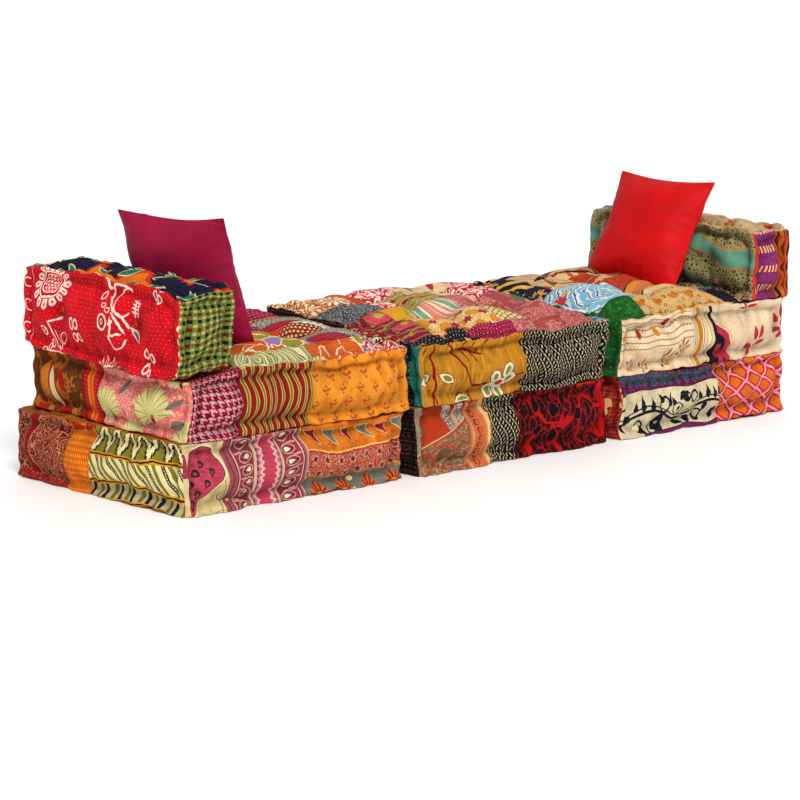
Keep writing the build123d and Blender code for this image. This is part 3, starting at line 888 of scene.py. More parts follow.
rag = Rag("scroll_print", "6c0d0b")
curl = rag.place.shaken(1.6, 0.5).scribble(2.2, 7.0, 0.13, 2.0)
rag.lay(curl, "bd7a5a")
rag.lay(rag.place.scribble(2.6, 5.0, 0.07, 5.0), "c88c6a")
arc = rag.place.at(15.5, 8.0, 0, 1.0, 1.25).beyond()
rag.lay(arc.band(7.4, 9.6), "8f120f")
rag.lay(arc.band(6.9, 7.2) | arc.band(9.8, 10.1), "c07a68")
rag.lay(rag.v < 2.6, "8f1410")
rag.lay((rag.v < 2.6) & rag.place.scribble(1.0, 3.0, 0.1, 1.0), "b5604f")
rag.sew(0.1)

rag = Rag("kantha_orange", "cf7014")
rag.mottle(3.0, 2.0, 0.55, "c46310")
rag.lay(rag.place.cell(0.62, 1.25).oval(0, 0, 0.12, 0.42, 12), "eca53c")
rag.lay((rag.v > 14.2) & (rag.place.noise(1.2) > 0.42), "a2330f")
rag.sew()

rag = Rag("ikat_cloth", "d6c88e")
wavy = rag.v + rag.place.noise(4.0) * 1.1 - 0.5
warp = (rag.u / 0.45).floor() * 0.45
steps = wavy - 10.8 + warp.zigzag(5.2, 5.4) + (rag.place.noise(0.5) - 0.5) * 1.2
upper = steps.stripes(
    12, (0, "8a8028"), (0.33, "26282e"), (0.44, "ddd2a0"), (0.62, "26282e"), (0.70, "9a8c2a"))
rag.colour = upper
slant = rag.u + wavy * 0.8
hatch = slant.stripes(4.6, (0, "dfd4a0"), (0.14, "24252c"), (0.38, "dfd4a0"), (0.56, "8a8028"),
                      (0.80, "dfd4a0"))
dots = rag.place.shaken(0.3, 0.1).cell(0.5, 0.45).beyond() < 0.17
rag.lay(wavy < 10.8, hatch)
rag.lay((wavy < 10.8) & (slant / 4.6 % 1).near(0.26, 0.1) & dots, "dfd4a0")
lower = (rag.u - wavy * 0.6).stripes(
    4.6, (0, "b9ac86"), (0.22, "7a7028"), (0.46, "b9ac86"), (0.62, "24252c"), (0.86, "b9ac86"))
rag.lay(wavy < 4.7, lower)
rag.lay(wavy < 0.9, upper)
for line in (10.8, 4.7, 0.9):
    rag.lay(wavy.near(line, 1.0), "cf9622")
    rag.lay(wavy.near(line, 0.34), "2a1d12")
rag.sew(0.1)

rag = Rag("ochre_quilting", "a8651a")
rag.mottle(5.0, 3.0, 0.52, "8d4f16")
rag.lay(rag.place.cell(0.7, 0.9).oval(0, 0, 0.22, 0.07), "d9a14a")
rag.sew()

rag = Rag("madder_sprigs", "9c2a20")
sprig = rag.place.cell(4.2, 4.2)
rag.lay(sprig.petals(5, 0.5, 1.2), "e0b070")
rag.lay(sprig.beyond() < 0.35, "3a4a6a")
rag.lay(sprig.leaf(-1.1, -0.9, 1.6, 0.6, 40), "6f7d3a")
rag.sew(0.5)

rag = Rag("underside", "a84e1c")
rag.lay((rag.u / 3.0 + rag.v / 3.0) % 1 < 0.5, "9c4618")
rag.sew(0.3, pitch=1.6)


# The seat of the left column. A houndstooth, a striped and a sprigged cotton make its front.
# The arm presses its left side down, where an old brown hanging and a coral print of fans show.

rag = Rag("houndstooth", "d2a2a4")
cloth = rag.place.shaken(3.0, 0.12)
across = (cloth.axis(0) / 0.2).floor()
up = (cloth.axis(1) / 0.2).floor()
over = (across + up) % 4 < 2
dark = ((across % 8 < 5) & over) | ((up % 8 < 5) & (1 - over))
rag.lay(dark, "94122e")
rag.lay(dark & (rag.place.noise(1.5, 2.0) > 0.55), "6f0b22")
rag.sew()

rag = Rag("bayadere_stripes", "8f1722")
rag.colour = (rag.u + rag.place.noise(4.0) * 0.3).stripes(
    2.3, (0, "961826"), (0.42, "4a2018"), (0.45, "d2b464"), (0.55, "77782a"), (0.78, "d2b464"),
    (0.88, "4a2018"), (0.91, "961826"))
rag.sew(0.15, thread="c9b04a")

rag = Rag("sprigged_orange", "e09636")
rag.mottle(3.0, 3.0, 0.55, "d88c2c")
sprig = rag.place.at(1.2, 0.6).cell(5.2, 3.2).shaken(0.5, 0.2)
rag.lay(sprig.leaf(0, 0.3, 1.9, 0.9, 70) | sprig.leaf(0.7, 0.05, 1.3, 0.5, 35), "b5602e")
rag.lay(sprig.leaf(-0.65, -0.1, 1.3, 0.5, 130) | sprig.leaf(0.1, -0.9, 0.9, 0.6, 100), "b06040")
rag.lay(sprig.oval(0, 0.35, 0.22, 0.3), "e0a050")
rag.sew(0.5, thread="eda94c", pitch=1.1)

rag = Rag("brown_hanging", "74400f")
rag.mottle(3.5, 3.0, 0.5, "b06a20")
rag.lay(rag.place.shaken(1.0, 0.4).leaf(7.5, 8.5, 9.5, 6.6, 70), "c07a24")
rag.lay(rag.place.leaf(10.5, 7.5, 11.0, 3.6, 115), "a81f18")
rag.lay(rag.place.leaf(10.7, 7.2, 9.6, 2.2, 112), "cfc49c")
rag.lay(rag.place.leaf(14.0, 8.6, 6.5, 1.6, 125), "a81f18")
rag.lay((rag.u > 15.2) & (rag.place.noise(0.9, 2.0) > 0.52), "5c3a14")
rag.lay((rag.v < 2.8) & ((rag.u / 7.5) % 1 > 0.5), "b02a1c")
rag.lay((rag.v < 2.8) & ((rag.u / 7.5) % 1 < 0.25), "b9803c")
rag.sew(0.1, thread="c9a060")

rag = Rag("banner_stripes", "b01f1a")
rag.colour = rag.u.stripes(7, (0, "93161a"), (0.16, "b8231c"), (0.38, "dd7f1e"), (0.5, "c2481a"),
                           (0.56, "dd7f1e"), (0.70, "c21f22"), (0.93, "8f1418"))
rag.sew(0.3)

rag = Rag("fan_print", "e0867c")
rag.lay(rag.place.scribble(1.7, 3.0, 0.13, 3.0), "eab7a6")
rag.mottle(2.2, 2.0, 0.62, "d46c64")
for x, y, size in ((4.0, 5.2, 1.0), (20.5, 6.6, 1.12), (31.0, 1.5, 0.9), (28.5, 15.4, 0.85),
                   (12.2, 0.4, 0.7)):
    own = rag.place.at(x, y, 18 * size, size, size)
    angle = own.node("TexGradient", (own,), out=1, gradient_type="RADIAL")
    open_fan = (own.beyond() < 5.3 + (angle * 113).sin() * 0.25) & (own.axis(1) > -1.6)
    rag.lay(open_fan, "d2cc8e")
    rag.lay(open_fan & ((angle * 18) % 1 < 0.13), "b0623c")
    rag.lay(own.leaf(0, -1.2, 3.0, 1.1, 60), "3a3330")
    rag.lay(own.oval(0.5, -0.4, 0.5, 0.5), "d94f3c")
for x, y, turn in ((26.6, 9.2, 40), (27.2, 4.6, 20), (9.6, 11.4, 60)):
    rag.lay(rag.place.leaf(x, y, 4.4, 1.9, turn), "8a7b74")
    rag.lay(rag.place.at(x, y, turn).axis(1).near(0, 0.16) & rag.place.leaf(x, y, 4.4, 1.9, turn), "5c4c48")
rag.sew(0.15)

# Its top: a whorled olive print, a cut-out print of suns, strips at a slant and magenta quilting.
rag = Rag("olive_whorls", "d8cfa4")
whorl = rag.place.shaken(5.0, 2.0).at(9.0, 5.0, 0, 1.5, 1.0).beyond()
rag.lay((whorl / 1.15) % 1 < 0.36, "8a9150")
rag.lay((whorl / 1.15 + 0.5) % 1 < 0.14, "5c6630")
rag.sew(0.2)

rag = Rag("cutout_suns", "d97b24")
ground = rag.place.shaken(3.0, 1.6)
kind = ground.tiles(5.2, "F1", 1)
rag.lay(kind.axis(0) > 0.55, "8f9432")
rag.lay(kind.axis(1) > 0.62, "8d7fa8")
rag.lay(kind.axis(2) > 0.66, "c8642a")
rag.lay(ground.tiles(5.2) < 0.055, "ead7b0")
rag.mottle(1.0, 3.0, 0.63, "c9681c")
rag.sew(0.4)

rag = Rag("slanted_strips", "8d8a84")
slant = rag.u * 0.62 + rag.v * 0.78
own = rag.place.at(0, 0, -38)
rag.colour = slant.stripes(34, (0, "cf4524"), (0.10, "a8263c"), (0.20, "b9b4a4"), (0.34, "8f1f1c"),
                           (0.47, "d8cfb8"), (0.60, "a83a62"), (0.78, "9a1f4a"), (0.9, "c7622c"))
rag.lay(slant.band(7.0, 11.4) & (rag.place.noise(0.45, 2.0) > 0.5), "5d5a55")
rag.lay(slant.band(11.8, 15.8) & (own.cell(1.0, 1.0).beyond() < 0.3), "e0c08a")
net = own.cell(2.3, 2.3, 0)
rag.lay(slant.band(16.0, 20.3) & own.cell(1.5, 1.3).oval(0, 0, 0.62, 0.38), "26221f")
rag.lay(slant.band(16.0, 20.3) & (abs(net.axis(0)).maths("MINIMUM", abs(net.axis(1))) < 0.12), "efe8d4")
rag.lay(slant.band(20.6, 30.5) & (rag.place.cell(1.5, 1.5).beyond() < 0.2), "e0a3b4")
for line in (3.4, 6.9, 11.6, 15.9, 20.4):
    rag.lay(slant.near(line, 0.3), "2c2622")
rag.sew(0.4)

rag = Rag("red_scrollwork", "b8232e")
rag.lay(rag.place.shaken(1.2, 0.5).scribble(1.8, 3.0, 0.17, 6.0), "efd6c8")
rag.sew(0.3)

rag = Rag("brown_check", "7d6a50")
check = rag.place.at(0, 0, 25).cell(1.7, 1.7, 0)
rag.lay(abs(check.axis(0)) < 0.22, "3c332a")
rag.lay(abs(check.axis(1)) < 0.22, "b5a584")
rag.lay((check.axis(0) > 0.3) & (check.axis(1) > 0.3), "5c6038")
rag.sew(0.4)

rag = Rag("magenta_dots", "a01e48")
rag.mottle(2.5, 2.0, 0.56, "8c163c")
rag.lay(rag.place.cell(1.15, 1.0).oval(0, 0, 0.17, 0.12), "e29ab0")
rag.sew(0.5, thread="e8a8b8")

rag = Rag("dotted_red", "8d1527")
rag.lay(rag.place.cell(1.0, 0.9).oval(0, 0, 0.15, 0.12), "e6c9bd")
rag.sew(0.4)


# The left arm stands on its side. Its outer face is a red kantha with large white outline flowers,
# its front end a green gingham with a ruffled edge, and its top a dark print of leaves and clouds.

rag = Rag("red_kantha", "cf1226")
rag.mottle(4.0, 3.0, 0.56, "bf0d20")
rag.lay(rag.place.shaken(1.0, 0.2).cell(1.3, 0.9).oval(0, 0, 0.11, 0.07), "e08a86")
white = "f0d8ca"
ink = rag.place.shaken(2.2, 0.35)
sun = ink.at(12.0, 15.6, 0, 1.22, 0.94)
ray = sun.node("TexGradient", (sun,), out=1, gradient_type="RADIAL") * 15
beside = abs(ray % 1 - 0.5)
rag.lay((sun.beyond() - 4.2 + (beside * beside) * 5.0 < 0.75) & (sun.beyond() > 3.15) & (beside < 0.36),
        white)
rag.lay(sun.beyond().band(3.7, 4.35) & (beside < 0.1), "cf1226")
rag.lay(sun.beyond().near(2.8, 0.34) | sun.beyond().near(2.0, 0.2), white)
rag.lay((sun.beyond() < 1.7) & (sun.cell(0.7, 0.62).beyond() < 0.22), white)
stem = ink.at(38.4, 11.4, 0, 0.82, 0.8)
bowl = stem.at(1.8, 3.6, 0, 1, 1.2)
base = stem.at(1.2, -5.0, 0, 1, 0.9)
marks = bowl.ring(0, 0, 2.9, 0.44) & (1 - (bowl.axis(0) > 1.2) * (bowl.axis(1) > -1.8))
marks = marks | (base.ring(0, 0, 3.0, 0.6) & (base.axis(1) < 0.4))
marks = marks | stem.any_of(
    Wire.stroke, (-6.8, 10.4, -4.2, 6.6, 0.78), (-7.6, 9.2, -6.0, 10.8, 0.78), (-3.6, 5.4, -0.6, 0.6, 0.55),
    (-3.4, 9.4, 0.6, 8.6, 0.98), (0.4, 8.8, 3.2, 6.9, 0.91), (-3.4, 9.6, -3.0, 4.8, 0.52),
    (-5.0, 7.4, -2.6, 7.0, 0.52), (6.6, 5.6, 6.2, 0.4, 0.44), (8.0, 4.7, 7.4, 0.2, 0.36),
    (-1.6, 0.6, 3.6, -3.2, 0.55), (0.4, 1.2, 5.0, -2.0, 0.47), (-1.6, -0.4, -1.2, -5.0, 0.55),
    (-1.2, -4.6, 2.4, -3.4, 0.47), (-2.4, -2.0, -0.6, -1.0, 0.52),
    *((5.2, 5.1 - 1.1 * bar, 8.0, 4.7 - 1.1 * bar, 0.42) for bar in range(4)))
marks = marks | stem.any_of(
    Wire.ring, (-6.2, 5.2, 1.1, 0.4, 30, 0.7), (-5.3, -2.0, 2.1, 0.6, 0, 0.85), (-5.3, -2.0, 0.6, 0.3),
    (-4.8, 2.6, 0.75, 0.32), (-3.0, 1.2, 0.72, 0.32))
rag.lay(marks, white)
rag.lay(stem.leaf(7.2, -3.4, 5.6, 1.5, -38), white)
rag.lay(stem.leaf(7.5, -3.7, 4.2, 0.9, -38), "7c6a80")
small = ink.at(13.0, 3.6, 0, 0.86, 0.86)
rag.lay(small.oval(-3.6, 2.0, 0.4, 0.36) | small.any_of(
    Wire.ring, (-3.6, 2.0, 1.25, 0.36), (4.2, 1.0, 1.7, 0.36, 60, 0.5), (-1.6, -0.6, 0.62, 0.26),
    (-2.6, -1.5, 0.6, 0.26), (-4.6, -2.4, 0.9, 0.3, 20, 0.7)), white)
rag.lay(small.any_of(
    Wire.stroke, (-1.0, 4.6, 4.6, 6.6, 0.5), (-1.2, 5.0, 0.2, -1.0, 0.45), (0.6, 2.6, 3.4, -1.8, 0.36),
    (0.8, -0.8, 3.2, -1.9, 0.36), (-3.6, -2.4, 1.2, -2.3, 0.4), (1.0, -2.3, 6.6, -4.4, 0.45)), white)
for x, y, turn in ((23.6, 7.2, 15), (49.4, 3.4, -20), (50.6, 18.6, -15)):
    pair = ink.at(x, y, turn)
    rag.lay(pair.ring(-0.9, 1.5, 0.7, 0.3, 0, 1.5) | pair.ring(0.9, 1.1, 0.6, 0.3, 0, 1.5), white)
    rag.lay(pair.ring(-0.6, -1.4, 0.66, 0.3, 0, 1.3) | pair.ring(0.9, -1.7, 0.56, 0.3, 0, 1.3), white)
edge_flower = ink.at(34.6, -1.6, 0, 1.2, 1.0)
rag.lay(edge_flower.petals(17, 3.0, 5.0) & (edge_flower.beyond() > 2.4), white)
rag.lay(edge_flower.petals(17, 2.5, 4.4) & (edge_flower.beyond() > 3.0), "cf1226")
rag.lay((rag.u + rag.v.zigzag(0.55, 0.22)).near(3.9, 0.18), white)
rag.lay((rag.u < 3.0) & ink.at(0.6, 2).cell(3.6, 5.2, 0).ring(0, 0, 0.95, 0.26, 20, 1.3), white)
rag.lay((rag.u > 59.5 + rag.v.wave(2.4, 0.35)) & (rag.v < 12), white)
rag.sew()

rag = Rag("green_gingham", "b8b482")
cloth = rag.place.shaken(3.0, 0.12)
across = (cloth.axis(0) / 1.5) % 1 < 0.62
up = (cloth.axis(1) / 1.9) % 1 < 0.62
rag.lay(across | up, "6c7a34")
rag.mottle(0.4, 2.0, 0.6, "94984e")
row = ((cloth.axis(0) / 1.5).floor() % 2) < 0.5
inner = ((cloth.axis(0) / 1.5) % 1).near(0.31, 0.48) & ((cloth.axis(1) / 1.9) % 1).near(0.31, 0.48)
rag.lay(inner & row, "12181c")
rag.lay(inner & (1 - row), "74201c")
rag.sew()

rag = Rag("night_leaves", "1b1e3c")
cloud = rag.place.shaken(3.0, 1.4).noise(9.0, 1.0)
rag.lay(cloud > 0.56, "c23c14")
rag.lay(cloud > 0.63, "cc761c")
rag.lay(cloud.band(0.53, 0.57) & (rag.place.noise(1.4) > 0.5), "8f241c")
leaf = rag.place.at(3.0, 2.0, 10).cell(9.5, 6.5)
spray = leaf.leaf(0, 0.6, 6.0, 2.2, 25) | leaf.leaf(1.0, -1.2, 4.2, 1.4, -30)
rag.lay(spray, "e6c790")
rag.lay(leaf.leaf(0, 0.6, 5.4, 1.7, 25) | leaf.leaf(1.0, -1.2, 3.6, 0.9, -30), "23806e")
rag.lay(leaf.at(0, 0.6, 25).axis(1).near(0, 0.2) & leaf.leaf(0, 0.6, 5.4, 1.7, 25), "123c36")
bloom = rag.place.at(57.5, 7.5)
rag.lay(bloom.petals(14, 3.0, 4.2), "e2d6c4")
rag.lay(bloom.petals(14, 2.3, 3.6), "c6381e")
rag.lay(bloom.beyond().near(1.6, 0.5), "f0e6d4")
rag.lay(bloom.beyond() < 1.2, "1d2136")
rag.sew(0.12)


# The lower middle cushion. Its front is a taupe print crossed with orange, a peach border,
# a black basket print and a dark red batik of crowded leaves.

rag = Rag("taupe_print", "85745a")
rag.lay(rag.place.shaken(1.4, 0.5).scribble(1.7, 3.0, 0.15, 8.0), "a8977a")
slant = rag.v - rag.u * 0.45
above = slant > 5.6
rag.lay(above & (rag.u < 3.2) & ((rag.u - rag.v * 0.8) / 1.1 % 1 < 0.5), "a69780")
rag.lay(above & rag.u.band(3.2 - rag.v.wave(14, 0.4), 10.0), "b5431a")
rag.lay(above & (rag.u > 10.0), "b04a22")
rag.lay(above & (rag.v > 14.6) & (rag.u > 2.6), "8e3016")
for middle in (11.3, 15.6):
    strip = (rag.u - middle + (rag.v - 12.0) * 0.22).near(0, 2.5)
    rag.lay(above & strip, "b7a796")
    rag.lay(above & strip & rag.place.scribble(1.1, 3.0, 0.2, 2.0), "6f5a66")
rag.lay(above & rag.place.leaf(13.5, 12.8, 3.8, 1.5, 82), "c4b184")
rag.lay(slant.near(5.4, 0.3) | slant.near(-1.2, 0.25), "c0b08a")
rag.lay(slant.near(4.9, 0.45) | slant.near(0.2, 0.3) | slant.near(2.6, 0.2), "b5461e")
below = slant < 4.6
rag.lay(below & rag.place.shaken(0.8, 0.4).scribble(2.3, 3.0, 0.13, 3.0), "b04a24")
rag.lay(below & rag.place.at(9.0, 4.6, 24).ring(0, 0, 2.9, 0.35, 0, 0.72), "b5461e")
rag.lay(below & rag.place.at(9.0, 4.6, 24).oval(0, 0, 2.1, 1.3), "6e6240")
rag.lay(below & (rag.place.noise(1.0, 2.0) > 0.64), "a8502e")
rag.sew(0.1)

rag = Rag("peach_border", "cc8458")
rag.colour = rag.u.stripes(9, (0, "c8784e"), (0.07, "cc9a6c"), (0.16, "c9774c"), (0.62, "cc8a5a"),
                           (0.72, "dcc184"), (0.93, "3b3428"), (0.965, "c9b890"))
figure = rag.place.at(0.2, 0).cell(5.4, 1.75, 0)
rag.lay((figure.shaken(0.7, 0.25).ring(0.35, 0, 0.62, 0.24) | figure.stroke(-0.4, -0.6, 0.3, 0.6, 0.26)),
        "98301e")
rag.lay(rag.u.band(4.2, 6.0) & rag.place.scribble(1.0, 3.0, 0.1, 3.0), "c65f3c")
rag.sew(0.1)

rag = Rag("basket_print", "100f0b")
chain = rag.place.shaken(1.6, 0.14).cells(1.12, 0.95)
turned = (chain[1].axis(0) % 2 > 0.5) * 2 - 1
tilt = chain[0].axis(0) + chain[0].axis(1) * turned * 0.42
rag.lay((abs(tilt) < 0.17) & (abs(chain[0].axis(1)) < 0.39), "bdb292")
rag.sew()

rag = Rag("leaf_batik", "4c0c10")
place = rag.place.shaken(4.0, 0.9)
fine = rag.place.shaken(1.0, 0.6)
blots = fine.vector("MULTIPLY", (1.2, 0.62, 1))
rag.lay(blots.tiles(2.2) > 0.08, "0c0c10")
rag.lay((blots.tiles(2.2) > 0.09) & (fine.tiles(0.9) < 0.07), "5c0d12")
rag.lay(blots.tiles(2.2) < 0.045, "a51015")
rag.lay((blots.tiles(2.2) < 0.09) & (fine.tiles(0.8) < 0.1), "a51015")
first = place.at(10.0, 11.4, -24)
rag.lay(first.ring(0, 0, 4.6, 0.9, 0, 0.60) & (first.axis(1) < 0.8), "c01216")
second = place.at(24.0, 8.0, 80)
rag.lay(second.ring(0, 0, 5.2, 0.8, 0, 0.72), "b01014")
rag.lay(place.stroke(31.0, 16.5, 32.4, 3.0, 1.7) | place.stroke(27.5, 10.6, 35.0, 11.4, 0.9), "c01216")
rag.lay(place.stroke(11.0, 8.0, 15.6, 1.0, 1.5) | place.leaf(15.5, 8.2, 7.0, 2.4, 20), "b81115")
rag.lay(place.leaf(29.0, 3.6, 7.0, 1.6, -10) | place.leaf(5.0, 2.6, 6.0, 1.8, 60), "b81115")
for x, y, turn in ((7.0, 12.4, 60), (12.0, 11.0, 30), (16.0, 13.0, 80), (20.5, 9.6, 80), (24.6, 10.2, 85),
                   (12.4, 4.6, 85), (24.6, 4.2, 85), (7.2, 6.4, 70), (29.0, 13.8, 85), (33.6, 8.4, 85)):
    rag.lay(place.leaf(x, y, 4.2, 2.6, turn), "a00f14")
    rag.lay(place.oval(x, y, 1.6, 0.95, turn), "0e1216")
rag.lay((rag.v > 15.6) & (rag.place.noise(2.5) > 0.45), "b01014")
rag.sew()

rag = Rag("dark_specks", "1b1719")
rag.lay(rag.place.cell(1.3, 1.3).oval(0, 0, 0.15, 0.15), "b0332c")
rag.mottle(2.0, 1.0, 0.64, "3b1418")
rag.sew(0.2)


# The middle seat. Its front is mustard cotton with crewel branches beside the basket print,
# and its top is pieced from quilted, dotted, striped and flowered rags.

rag = Rag("mustard_crewel", "bd8526")
rag.mottle(4.5, 2.0, 0.55, "b0791f")
rag.lay(rag.place.vector("MULTIPLY", (1.0, 0.12, 1)).noise(0.9, 2.0) > 0.56, "c59336")
place = rag.place.shaken(1.2, 0.22)
rag.lay(place.any_of(Wire.stroke, (9.0, 16.0, 13.4, 10.4, 0.5), (13.0, 10.8, 18.0, 5.0, 0.62),
                     (17.6, 5.2, 25.4, 3.9, 0.6), (18.0, 5.2, 18.4, 0.0, 0.5),
                     (10.6, 13.6, 22.4, 11.9, 0.42), (13.6, 13.2, 16.4, 15.8, 0.4),
                     (16.6, 12.8, 19.2, 15.0, 0.4), (20.0, 12.2, 24.0, 15.4, 0.42),
                     (14.6, 12.8, 16.2, 10.2, 0.38), (18.0, 12.4, 19.6, 10.4, 0.38),
                     (5.0, 16.0, 5.3, 0.2, 0.62), (5.2, 4.6, 3.8, 0.4, 0.5), (30.6, 5.0, 35.6, 6.2, 0.45),
                     (1.4, 13.0, 2.6, 14.8, 0.4), (0.6, 7.4, 2.2, 8.6, 0.3)), "8a1c1a")
for x, y, long, wide, turn in ((8.4, 7.4, 5.4, 2.9, -26), (2.4, 7.4, 4.6, 2.6, 204),
                               (14.4, 1.9, 6.6, 2.4, 4)):
    rag.lay(place.leaf(x, y, long, wide, turn), "8f2620")
    rag.lay(place.leaf(x, y, long - 0.5, wide - 0.45, turn), "dccfb2")
    rag.lay(place.leaf(x + 0.2, y, long - 2.2, wide - 1.4, turn), "7c8a34")
petals = ((2.0, 2.9, 56), (-1.9, 1.6, 120), (-2.5, -1.7, 215), (1.1, -2.1, -60), (3.0, 0.6, 12))
for grown, colour in ((0.42, "8f2620"), (0.2, "e0d4bc"), (-0.62, "86923a")):
    for x, y, turn in petals:
        rag.lay(place.oval(27.6 + x, 4.4 + y, 1.75 + grown, 1.25 + grown, turn), colour)
rag.lay(place.oval(27.6, 4.4, 1.7, 1.2), "e0d4bc")
rag.lay(place.oval(27.7, 4.4, 0.95, 0.65), "b5481f")
rag.sew(0.12, thread="e6bb62", pitch=1.0)

rag = Rag("teal_strip", "2b7a6c")
rag.colour = rag.u.stripes(9, (0, "1f2438"), (0.52, "2b7a6c"), (0.93, "c79a4a"))
rag.mottle(0.8, 2.0, 0.62, "3d8f80")
rag.sew(0.2)

rag = Rag("navy_dots", "211e24")
rag.lay(rag.place.cell(1.1, 1.0).oval(0, 0, 0.13, 0.13), "c7b8a8")
torn = rag.place.shaken(1.6, 0.9).noise(5.0, 1.0)
rag.lay(torn > 0.60, "c9812c")
rag.lay(torn > 0.68, "e0b070")
rag.sew(0.4, thread="b0a498")

rag = Rag("rosette", "a61f48")
rose = rag.place.shaken(1.4, 0.5).at(8.5, 8.5)
wheel = rose.beyond()
rag.lay((wheel / 1.8) % 1 < 0.35, "7d2a4c")
rag.lay((wheel / 1.8 + 0.45) % 1 < 0.22, "a8863c")
rag.lay(rose.petals(8, 2.2, 3.8), "cc4a68")
rag.lay(wheel < 1.2, "a8b02c")
rag.lay((rag.place.noise(2.2, 2.0) > 0.68) & (rag.u < 9), "8f9a2c")
rag.sew(0.5, thread="e0909c")

rag = Rag("yellow_quilting", "d9a230")
rag.lay(rag.place.shaken(2.0, 0.8).noise(4.5, 1.0) > 0.6, "a3a62e")
rag.mottle(2.0, 2.0, 0.66, "cc6a38")
rag.sew(0.4, thread="f0d080")

rag = Rag("mustard_bouquet", "d3ab62")
rag.lay(rag.place.scribble(2.0, 3.0, 0.12, 4.0), "e6cf94")
spots = rag.place.at(2, 1, 20).cell(7.0, 5.4)
rag.lay(spots.petals(6, 1.4, 2.2), "e4cfa0")
rag.lay(spots.petals(6, 1.0, 1.75), "a8234c")
other = rag.place.at(5.4, 3.6, 20).cell(7.0, 5.4)
rag.lay(other.oval(0, 0, 2.1, 1.5), "d98f1e")
rag.lay(other.ring(0, 0, 2.1, 0.2, 0, 0.72), "7a3a2c")
rag.sew(0.4)

rag = Rag("windowpane", "dfc894")
pane = rag.place.at(0, 0, 30).cell(1.5, 1.5, 0)
rag.lay((abs(pane.axis(0)) < 0.12) | (abs(pane.axis(1)) < 0.12), "26211d")
rag.mottle(3.0, 1.0, 0.6, "c9a75a")
rag.sew(0.2)

rag = Rag("dusty_pink", "b5605c")
rag.lay(rag.place.shaken(1.0, 0.4).scribble(1.5, 3.0, 0.17, 5.0), "cf938a")
rag.mottle(4.0, 2.0, 0.6, "a9504e")
rag.sew(0.5, thread="dcb0a4")

rag = Rag("pink_lily", "a85458")
rag.mottle(2.0, 3.0, 0.55, "b46a68")
lily = rag.place.at(9.0, 5.0)
rag.lay(lily.shaken(1.2, 0.5).petals(7, 2.2, 4.8), "2c8265")
rag.lay(lily.at(0.5, -2.2, 0, 2.3, 1.6).beyond() < 1, "cf8a60")
rag.sew(0.5, thread="d29a90")

rag = Rag("grey_speckle", "74726f")
rag.mottle(0.4, 2.0, 0.5, "3a3838")
rag.lay(rag.place.noise(0.5, 2.0) < 0.4, "a9a7a2")
rag.sew(0.2, thread="c9c7c0")

rag = Rag("serape_stripes", "d9b89a")
rag.colour = (rag.u + rag.v * 0.15).stripes(
    13, (0, "c8766a"), (0.07, "e4cfae"), (0.13, "2c9a7c"), (0.27, "e4cfae"), (0.31, "c25a4a"),
    (0.36, "e4cfae"), (0.40, "6c3a34"), (0.45, "e4cfae"), (0.50, "2f9c80"), (0.62, "e8d8b8"),
    (0.67, "c86a58"), (0.80, "d98f80"), (0.86, "c4604c"), (0.92, "e4cfae"))
rag.lay(rag.place.cell(0.5, 0.5).beyond() < 0.12, "e9dcc0")
rag.sew(0.2)

rag = Rag("white_leaf_batik", "b5661c")
rag.mottle(2.0, 3.0, 0.56, "a2521a")
frond = rag.place.shaken(1.0, 0.4).cell(8.0, 6.5)
rag.lay(frond.petals(11, 1.2, 3.6), "ead9b8")
rag.lay(frond.petals(11, 0.6, 2.3, 1.5), "b5661c")
rag.lay(rag.place.shaken(0.8, 0.4).scribble(1.6, 3.0, 0.1, 3.0), "e2cfa8")
rag.sew(0.4)

rag = Rag("plain_orange", "c45a1c")
rag.mottle(3.0, 3.0, 0.54, "b23a1c")
rag.lay((rag.u / 4.0) % 1 < 0.08, "e08a2c")
rag.sew(0.5, thread="e8a050")

rag = Rag("olive_ikat", "a3904a")
smear = rag.place.vector("MULTIPLY", (0.45, 1.0, 1)).shaken(1.5, 0.6)
rag.lay(smear.noise(2.4, 2.0) > 0.58, "b0302a")
rag.lay(smear.noise(3.0, 2.0) < 0.36, "1f2420")
rag.lay((rag.v / 1.5 + rag.place.noise(3.0)) % 1 < 0.12, "d0c490")
rag.sew(0.4)

rag = Rag("white_scroll_red", "c12a38")
rag.lay(rag.place.shaken(1.5, 0.7).scribble(2.2, 3.0, 0.2, 9.0), "ecd2c8")
rag.sew(0.3)

rag = Rag("cream_lily", "dcc198")
rag.mottle(3.0, 1.0, 0.58, "d2b284")
lily = rag.place.at(6.5, 7.0)
rag.lay(lily.shaken(1.2, 0.3).petals(8, 1.2, 6.6) & (lily.beyond() > 1.4), "231f1c")
rag.lay(lily.beyond() < 0.8, "b03a28")
rag.lay(rag.place.leaf(19.0, 6.0, 7.0, 2.2, 60), "a8382c")
rag.sew(0.4)


# The lower right cushion. Its front is a cream border with a navy vine between purple bands,
# next to an orange silk with a pink lattice.

